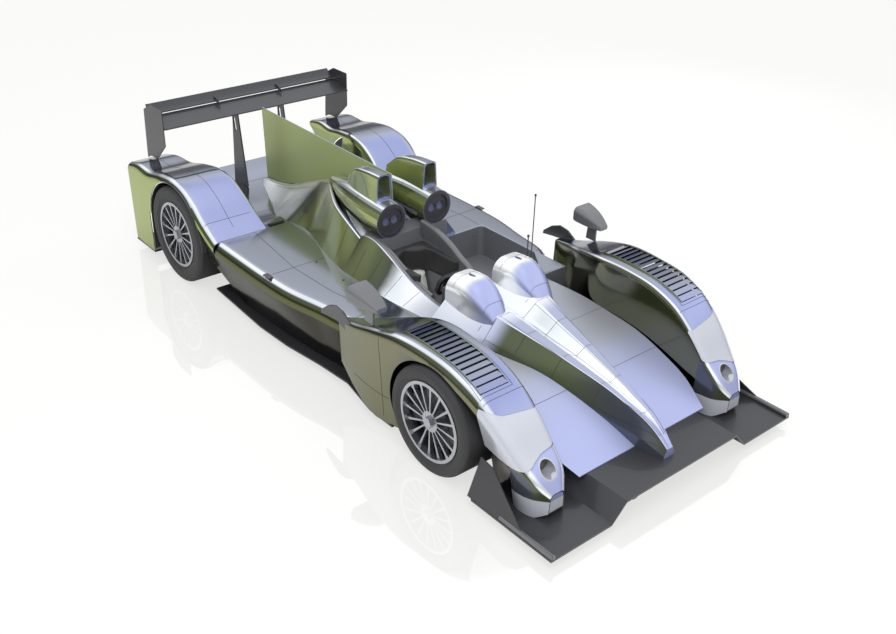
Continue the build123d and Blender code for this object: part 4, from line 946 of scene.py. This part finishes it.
def cover():
    """Engine cover with fairings and scoops in one skin."""
    outlines = []
    for row in fine_rows(COVER, 20):
        y, foot, foot_z, rail, rail_z, valley, valley_z, spine, spine_z, turn = row
        outlines.append((y, both((
            (foot, foot_z - COVER_HEM, 0),
            (foot, foot_z, 0),
            (rail, rail_z, turn),
            (valley, valley_z, turn),
            (spine, spine_z, turn),
        ))))
    body = lofted("engine_cover_skin", outlines, COVER_PAINT)
    for side in (-1, 1):
        carve(body, [barrel(side)], "UNION")
        carve(body, [lofted("hood", scoop_outlines(side, 0))], "UNION")
    cuts = []
    for side in (-1, 1):
        cuts.append(scoop_mouth(side))
        recess = circle(side * SEAT_X, RECESS_Z, RECESS_RADIUS, 64)
        cuts.append(prism("recess", recess, "Y", PAST_FAIRING, RECESS_BACK))
    return smooth(carve(body, cuts), degrees=36)


def rear_deck():
    """Thin deck behind the engine cover, rising to the tail."""
    outlines = []
    for y, half, side_z, middle_z in fine_rows(REAR_DECK, 20):
        top = (
            (half, side_z, 0),
            (LEVEL_SHARE * half, middle_z, LEVEL_TURN),
            (-LEVEL_SHARE * half, middle_z, LEVEL_TURN),
            (-half, side_z, 0),
        )
        under = tuple((x, z - DECK_SKIN, turn) for x, z, turn in reversed(top))
        outlines.append((y, top + under))
    deck = lofted("rear_deck_skin", outlines, SILVER)
    solid = lofted("solid", fender_outlines(REAR_FENDER, REAR_AXLE, -TRIM_GAP, 30))
    foot = cover_foot()
    foot = foot + [(-x, y) for x, y in reversed(foot)]
    cuts = [mirrored(solid, "solid_right"), solid, prism("foot", foot, "Z", 300, 700)]
    return smooth(carve(deck, cuts))


put(nose(), "nose")
put(front_deck(), "front_deck")
put(pod("left", 1), "sidepod_left")
put(pod("right", -1), "sidepod_right")
put(cover(), "engine_cover")
put(rear_deck(), "rear_deck")

# Dark walls closing the rear wheel wells. Their dark colour is painted shade in the wells.
LINER_RADIUS = 384
LINER_WALL = 4
LINER_BACK_WALL = 2
LINER_HEIGHT = 355
LINER_FOOT = 100
LINER_INNER_X = 600
LINER_OUTER_X = 982


def half_ring(radius):
    """Half circle over the rear axle seen from the side, its rear end brought down: y, z."""
    return [(REAR_AXLE + radius, LINER_FOOT)] + circle(REAR_AXLE, LINER_HEIGHT, radius, 72)[:37]


def shaded_wheel_wells():
    """Half ring over each rear wheel with a wall on its inner side, dark as painted shade in the well.
    """
    outer = half_ring(LINER_RADIUS)
    inner = half_ring(LINER_RADIUS - LINER_WALL)
    band = prism("rear_well_shade", outer + inner[::-1], "X", LINER_INNER_X, LINER_OUTER_X)
    on_both_sides(band)
    wall_x = LINER_INNER_X - LINER_BACK_WALL
    wall = prism("rear_liner_wall", outer, "X", wall_x, LINER_INNER_X)
    on_both_sides(wall)


shaded_wheel_wells()

# Cockpit. Rounded strips on both sides of the driver. Columns: y, middle x, top z.
NEAR_PAD = (
    (-480, -283, 524),
    (-380, -283, 546),
    (-216, -283, 596),
    (-60, -283, 660),
    (30, -283, 684),
    (60, -283, 688),
)
FAR_PAD = (
    (-500, 62, 540),
    (-440, 66, 588),
    (-340, 70, 628),
    (-250, 72, 672),
    (-100, 72, 722),
    (30, 72, 738),
    (64, 72, 740),
)
PAD_ROUNDING = 0.45


def cockpit_pad(name, rows, width, depth):
    """Rounded strip beside the driver."""
    half = width / 2
    turn = width * PAD_ROUNDING
    outlines = []
    for y, x, top in fine_rows(rows, 20):
        outlines.append((y, (
            (x - half, top - depth, 0),
            (x + half, top - depth, 0),
            (x + half, top, turn),
            (x - half, top, turn),
        )))
    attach(smooth(lofted(name, outlines, GREY)), "chassis")


cockpit_pad("near_pad", NEAR_PAD, width=30, depth=90)
cockpit_pad("far_pad", FAR_PAD, width=44, depth=100)

# Antennas ahead of the passenger's space.
ANTENNA_FOOT = 9


def antenna(name, x, y, foot, tip, radius):
    """Thin upright rod on a wider foot, with a knob at its tip."""
    rod = prism(name, circle(x, y, radius, 12), "Z", foot, tip)
    base = prism(name + "_foot", circle(x, y, ANTENNA_FOOT, 20), "Z", foot - 20, foot + 34)
    knob = prism(name + "_tip", circle(x, y, 2 * radius, 12), "Z", tip - 12, tip)
    for piece in (rod, base, knob):
        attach(piece, "chassis")


antenna("long_antenna", x=325, y=-712, foot=640, tip=1122, radius=3.5)
antenna("short_antenna", x=318, y=-682, foot=650, tip=838, radius=4)

# Padding. Cloth under pressure from inside grows from a solid a little smaller than the CAD's.
SHRINK = 0.985
VOXEL = 0.007
PRESSURE = 4
CLOTH_FRAMES = 12


def push_out(soft, cap):
    """Blows a closed mesh up as cloth. No point moves further than the cap, in millimetres."""
    start = [vertex.co.copy() for vertex in soft.data.vertices]
    cloth = soft.modifiers.new("cloth", "CLOTH")
    cloth.settings.use_pressure = True
    cloth.settings.uniform_pressure_force = PRESSURE
    cloth.settings.effector_weights.gravity = 0
    for number in range(1, CLOTH_FRAMES + 1):
        bpy.context.scene.frame_set(number)
    bpy.ops.object.modifier_apply(modifier=cloth.name)
    bpy.context.scene.frame_set(1)
    for vertex, before in zip(soft.data.vertices, start):
        shift = vertex.co - before
        if shift.length > cap * MM:
            vertex.co = before + shift.normalized() * cap * MM


def stuffed(node_name, name, cap):
    """Padded form grown inside cloth under pressure from a CAD solid."""
    soft = new_object(name, frame["nodes"][node_name].data.copy())
    bpy.context.view_layer.objects.active = soft
    center = sum((v.co for v in soft.data.vertices), Vector()) / len(soft.data.vertices)
    for vertex in soft.data.vertices:
        vertex.co = center + (vertex.co - center) * SHRINK
    remesh = soft.modifiers.new("remesh", "REMESH")
    remesh.mode = "VOXEL"
    remesh.voxel_size = VOXEL
    bpy.ops.object.modifier_apply(modifier=remesh.name)
    push_out(soft, cap)
    finer = soft.modifiers.new("finer", "SUBSURF")
    finer.levels = 1
    bpy.ops.object.modifier_apply(modifier=finer.name)
    put(smooth(soft, degrees=60), node_name)


stuffed("seat", "seat_pad", cap=5)
stuffed("headrest", "headrest_pad", cap=5)

# Floor. Columns, in metres: start, end, and how far out its edge stands between them.
FLOOR_EDGE = (
    (-0.95, -0.60, 0.930),
    (-0.45, -0.30, 0.868),
    (-0.2, 0.0, 0.886),
    (0.1, 0.3, 0.925),
    (0.45, 0.65, 0.935),
    (1.1, 1.25, 0.90),
)


def floor_plate():
    """Flat floor drawn in ahead of the rear wheels, where the side pods hide its edge."""
    plate = new_object("floor_plate", frame["nodes"]["underfloor"].data.copy())
    for vertex in plate.data.vertices:
        reach, along = abs(vertex.co.x), vertex.co.y
        for start, end, width in FLOOR_EDGE:
            if start < along < end and reach > width:
                vertex.co.x = math.copysign(width, vertex.co.x)
    return plate


put(floor_plate(), "underfloor")

# Small pieces. Hatches and caps on the decks: x, y, half width, half length, top z.
FITTINGS = (
    (912, 427, 17, 34, 478),
    (438, 1091, 60, 12, 486),
    (551, 406, 6, 6, 478),
    (556, 89, 6, 6, 478),
)
FITTING_FOOT = 470
# Rolled lip along each outer edge of the splitter.
LIP_X = 985
LIP_Z = 74
LIP_RADIUS = 14
LIP_ENDS = (-2289, -1905)
# Upright vane behind each front fender, from the side: y, z.
VANE = (
    (-223, 508), (-228, 534), (-300, 592), (-373, 622), (-450, 612), (-526, 567),
    (-575, 500), (-612, 436), (-560, 430), (-480, 500), (-390, 530), (-300, 520),
)
VANE_X = (926, 938)


def fittings():
    """Hatches and caps on the decks, in pairs."""
    for index, (x, y, half_width, half_length, top) in enumerate(FITTINGS):
        for side in (-1, 1):
            left, right = side * x + half_width, side * x - half_width
            outline = box_outline(right, left, y - half_length, y + half_length)
            fitting = prism(f"fitting_{index}_{side}", outline, "Z", FITTING_FOOT, top)
            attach(fitting, "chassis")


def splitter_lips():
    """Lip on both outer edges of the splitter."""
    for side in (-1, 1):
        tube = circle(side * LIP_X, LIP_Z, LIP_RADIUS, 24)
        lip = prism(f"splitter_lip_{side}", tube, "Y", *LIP_ENDS, GREY)
        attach(smooth(lip), "chassis")


def vanes():
    """Vane behind each front fender."""
    for side in (-1, 1):
        vane = prism(f"vane_{side}", VANE, "X", side * VANE_X[0], side * VANE_X[1])
        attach(vane, "chassis")


fittings()
splitter_lips()
vanes()

# Panel lines: thin dark ribbons laid on the skins. Paths are in millimetres.
LINE_WIDTH = 2.4
LINE_LIFT = 0.7
LINE_STEP = 12
# Where two points of a line lie closer or further apart than this, in metres, it is broken.
CLOSEST = 0.0005
FURTHEST = 0.03
# Rays start this many metres away from the middle of the car.
RAY_START = 2


def skin_tree(name):
    """Search tree of a piece's faces."""
    mesh = bpy.data.objects[name].data
    corners = [vertex.co for vertex in mesh.vertices]
    return BVHTree.FromPolygons(corners, [tuple(face.vertices) for face in mesh.polygons])


def line_spots(path):
    """Points at a small step along a path."""
    spots = []
    for (a, b), (c, d) in zip(path, path[1:]):
        count = max(1, round(math.hypot(c - a, d - b) / LINE_STEP))
        spots += [(a + (c - a) * k / count, b + (d - b) * k / count) for k in range(count)]
    return spots + [path[-1]]


def line_trail(tree, path, side):
    """Places on a skin, with its normal there, under a path."""
    trail = []
    for a, b in line_spots(path):
        if side:
            start, aim = Vector((side * RAY_START, a * MM, b * MM)), Vector((-side, 0, 0))
        else:
            start, aim = Vector((a * MM, b * MM, RAY_START)), Vector((0, 0, -1))
        place, normal = tree.ray_cast(start, aim)[:2]
        if place is not None:
            trail.append((place, normal))
    return trail


def panel_lines(name, skin, paths, side=0):
    """Ribbons on one skin. Paths are x, y from above, or y, z from a side of the car."""
    tree = skin_tree(skin)
    points, faces = [], []
    for path in paths:
        trail = line_trail(tree, path, side)
        for (place, normal), (following, _) in zip(trail, trail[1:]):
            step = following - place
            if not CLOSEST < step.length < FURTHEST:
                continue
            across = normal.cross(step).normalized() * LINE_WIDTH / 2
            first = len(points)
            for base in (place, following):
                points.append(base / MM + normal * LINE_LIFT - across)
                points.append(base / MM + normal * LINE_LIFT + across)
            faces.append((first, first + 2, first + 3, first + 1))
    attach(make_piece(name, points, faces, LINE), "chassis")


def ring_path(x, y, half_x, half_y):
    """Closed rectangle round a place, seen from above."""
    corners = box_outline(x - half_x, x + half_x, y - half_y, y + half_y)
    return corners + corners[:1]


def side_panel_lines(word, side):
    """Lines on the fenders and the side pod of one side."""
    panel_lines(f"fender_lines_{word}", f"fender_front_{word}", [
        ring_path(side * 802, -1298, 112, 336),
        [(side * 630, -850), (side * 968, -850)],
        [(side * 640, -1660), (side * 940, -1660)],
    ])
    panel_lines(f"fender_side_lines_{word}", f"fender_front_{word}", [
        [(-850, 100), (-850, 640)],
        [(-900, 250), (-560, 250)],
    ], side)
    panel_lines(f"pod_lines_{word}", f"side_pod_{word}", [
        [(side * 500, -350), (side * 900, -350)],
        [(side * 470, 430), (side * 980, 430)],
        [(side * 600, -560), (side * 700, 0), (side * 715, 430), (side * 640, 1040)],
        ring_path(side * 912, 427, 22, 40),
    ])
    panel_lines(f"rear_lines_{word}", f"fender_rear_{word}", [
        [(side * 590, 1180), (side * 985, 1180)],
        [(side * 620, 1905), (side * 985, 1905)],
        [(side * 760, 1120), (side * 770, 1500), (side * 800, 2270)],
    ])


# Cross lines of the nose, and how far out each line along it lies, as a share of its crest.
NOSE_JOINTS = (-1980, -1720, -1450, -1200, -1000)
NOSE_SHARES = (-1.35, -1.0, -0.62, -0.3, 0.3, 0.62, 1.0, 1.35)
# The crest's distance from the middle grows evenly from the tip of the nose.
CREST_TIP_Y = -2180
CREST_TIP_X = 22
CREST_SPREAD = 0.245


def middle_panel_lines():
    """Lines on the nose, the engine cover, the decks and the tub."""
    nose_paths = []
    for share in NOSE_SHARES:
        rows = (-2120,) + NOSE_JOINTS
        nose_paths.append([(share * (CREST_TIP_X + (y - CREST_TIP_Y) * CREST_SPREAD), y) for y in rows])
    nose_paths += [[(-400, y), (400, y)] for y in NOSE_JOINTS]
    panel_lines("nose_lines", "nose_ridge", nose_paths)
    hump_paths = []
    for side in (-1, 1):
        left, right = SEAT_X * side - 120, SEAT_X * side + 120
        hump_paths += [[(left, y), (right, y)] for y in (-940, -700)]
    panel_lines("hump_lines", "nose_ridge", hump_paths)
    cover_paths = [[(-480, y), (480, y)] for y in (330, 620, 980, 1300)]
    cover_paths += [[(side * 250, 220), (side * 150, 800), (side * 60, 1700)] for side in (-1, 1)]
    panel_lines("cover_lines", "engine_cover_skin", cover_paths)
    panel_lines("deck_lines", "front_deck_skin", [[(-600, y), (600, y)] for y in (-1560, -1100)])
    panel_lines("tail_lines", "rear_deck_skin", [[(-600, y), (600, y)] for y in (1420, 1960)])
    panel_lines("tub_lines", "tub", [[(y, 478), (y, 640)] for y in (-420, -250, -60, 90)], -1)


side_panel_lines("right", -1)
side_panel_lines("left", 1)
middle_panel_lines()

# Stage: pale floor with a faint mirror image, and a backdrop of the same colour.
PALE = (1.0, 0.996, 0.982)
MATT_WHITE = (0.80, 0.80, 0.79)
GLOW = 1.05
SHADOW_SHARE = 0.22
MIRROR_SHARE = 0.16
# The world's colours in glossy rays, from straight down to straight up: place and colour.
SKY_STOPS = (
    (0.00, (0.55, 0.56, 0.54)),
    (0.10, (0.10, 0.10, 0.11)),
    (0.24, (0.30, 0.31, 0.33)),
    (0.40, (0.62, 0.64, 0.68)),
    (0.62, (0.95, 0.97, 1.00)),
    (0.80, (0.75, 0.78, 0.85)),
    (1.00, (1.0, 1.0, 1.0)),
)
SKY_STRENGTH = 1.15
LIGHT_STRENGTH = 0.95
LIGHT_AIM = (0, 0, 0.4)
FLOOR_SIZE = 120
FLOOR_DROP = 0.0005


def mixed(owner, factor, first, second):
    """Mix of two shaders by a socket or a number."""
    made = node(owner, "ShaderNodeMixShader")
    if isinstance(factor, float):
        made.inputs[0].default_value = factor
    else:
        link(owner, factor, made.inputs[0])
    link(owner, first, made.inputs[1])
    link(owner, second, made.inputs[2])
    return made.outputs[0]


def pale_stage():
    """Floor material: nearly shadowless white with a weak reflection."""
    material = bpy.data.materials.new("stage_floor")
    material.use_nodes = True
    material.node_tree.nodes.clear()
    output = node(material, "ShaderNodeOutputMaterial")
    ray = node(material, "ShaderNodeLightPath")
    glow = node(material, "ShaderNodeEmission")
    glow.inputs["Color"].default_value = (*PALE, 1)
    glow.inputs["Strength"].default_value = GLOW
    matt = node(material, "ShaderNodeBsdfDiffuse")
    matt.inputs["Color"].default_value = (*MATT_WHITE, 1)
    mirror = node(material, "ShaderNodeBsdfGlossy")
    mirror.inputs["Roughness"].default_value = 0.0
    soft = mixed(material, SHADOW_SHARE, glow.outputs[0], matt.outputs[0])
    shown = mixed(material, MIRROR_SHARE, soft, mirror.outputs[0])
    chosen = mixed(material, ray.outputs["Is Camera Ray"], matt.outputs[0], shown)
    link(material, chosen, output.inputs["Surface"])
    return material


def stage_floor():
    """Wide pale floor just below the tyres."""
    bpy.ops.mesh.primitive_plane_add(size=FLOOR_SIZE, location=(0, 0, -FLOOR_DROP))
    floor = bpy.context.object
    floor.name = "stage_floor"
    floor.data.materials.append(pale_stage())


def backdrop(world, color, strength):
    """Background shader of one colour."""
    made = node(world, "ShaderNodeBackground")
    made.inputs["Color"].default_value = (*color, 1)
    made.inputs["Strength"].default_value = strength
    return made


def studio():
    """World: white to the camera, bands of light and dark to the mirror-like skin."""
    world = bpy.data.worlds.new("studio")
    bpy.context.scene.world = world
    world.use_nodes = True
    world.node_tree.nodes.clear()
    output = node(world, "ShaderNodeOutputWorld")
    ray = node(world, "ShaderNodeLightPath")
    place = node(world, "ShaderNodeTexCoord")
    height = separate(world, place.outputs["Generated"])["Z"]
    bands = color_ramp(world, height, [(*stop, 1) for stop in SKY_STOPS])
    light = backdrop(world, (1.0, 1.0, 1.0), LIGHT_STRENGTH)
    seen = backdrop(world, PALE, 1.0)
    banded = backdrop(world, (1.0, 1.0, 1.0), SKY_STRENGTH)
    link(world, bands.outputs[0], banded.inputs["Color"])
    # The floor's sharp mirror image is left out, so that it shows plain white.
    blurred = node(world, "ShaderNodeMath", operation="SUBTRACT", use_clamp=True)
    link(world, ray.outputs["Is Glossy Ray"], blurred.inputs[0])
    link(world, ray.outputs["Is Singular Ray"], blurred.inputs[1])
    by_gloss = mixed(world, blurred.outputs[0], light.outputs[0], banded.outputs[0])
    by_camera = mixed(world, ray.outputs["Is Camera Ray"], by_gloss, seen.outputs[0])
    link(world, by_camera, output.inputs["Surface"])


def area_light(name, place, size, power):
    """Soft rectangular lamp aimed at the car."""
    data = bpy.data.lights.new(name, "AREA")
    data.shape = "RECTANGLE"
    data.size, data.size_y = size
    data.energy = power
    lamp = new_object(name, data)
    lamp.location = place
    lamp.visible_glossy = False
    lamp.rotation_euler = (Vector(LIGHT_AIM) - Vector(place)).to_track_quat("-Z", "Y").to_euler()


# Camera, fitted to points of the photograph: its place in metres and its direction in degrees.
CAMERA_PLACE = (-3.9245, -4.8475, 3.6226)
AZIMUTH = -40.83
ELEVATION = 29.78
ROLL = 1.736
FOCAL_LENGTH = 41.99
SENSOR_WIDTH = 36


def fitted_camera():
    """Camera with the photograph's view."""
    azimuth, elevation, roll = (math.radians(angle) for angle in (AZIMUTH, ELEVATION, ROLL))
    back = Vector((
        math.sin(azimuth) * math.cos(elevation),
        -math.cos(azimuth) * math.cos(elevation),
        math.sin(elevation),
    ))
    level = Vector((0, 0, 1)).cross(back).normalized()
    upright = back.cross(level)
    right = level * math.cos(roll) + upright * math.sin(roll)
    up = upright * math.cos(roll) - level * math.sin(roll)
    data = bpy.data.cameras.new("camera")
    data.lens = FOCAL_LENGTH
    data.sensor_width = SENSOR_WIDTH
    data.clip_end = 200
    camera = new_object("camera", data)
    rows = [(*axes, place) for axes, place in zip(zip(right, up, back), CAMERA_PLACE)]
    camera.matrix_world = Matrix((*rows, (0, 0, 0, 1)))
    bpy.context.scene.camera = camera


stage_floor()
studio()
area_light("key", (-2.5, -3.0, 6.0), (3.0, 6.0), 260)
area_light("rim_light", (4.5, 1.5, 4.0), (1.2, 6.0), 120)
fitted_camera()
bpy.context.scene.view_settings.view_transform = "Standard"
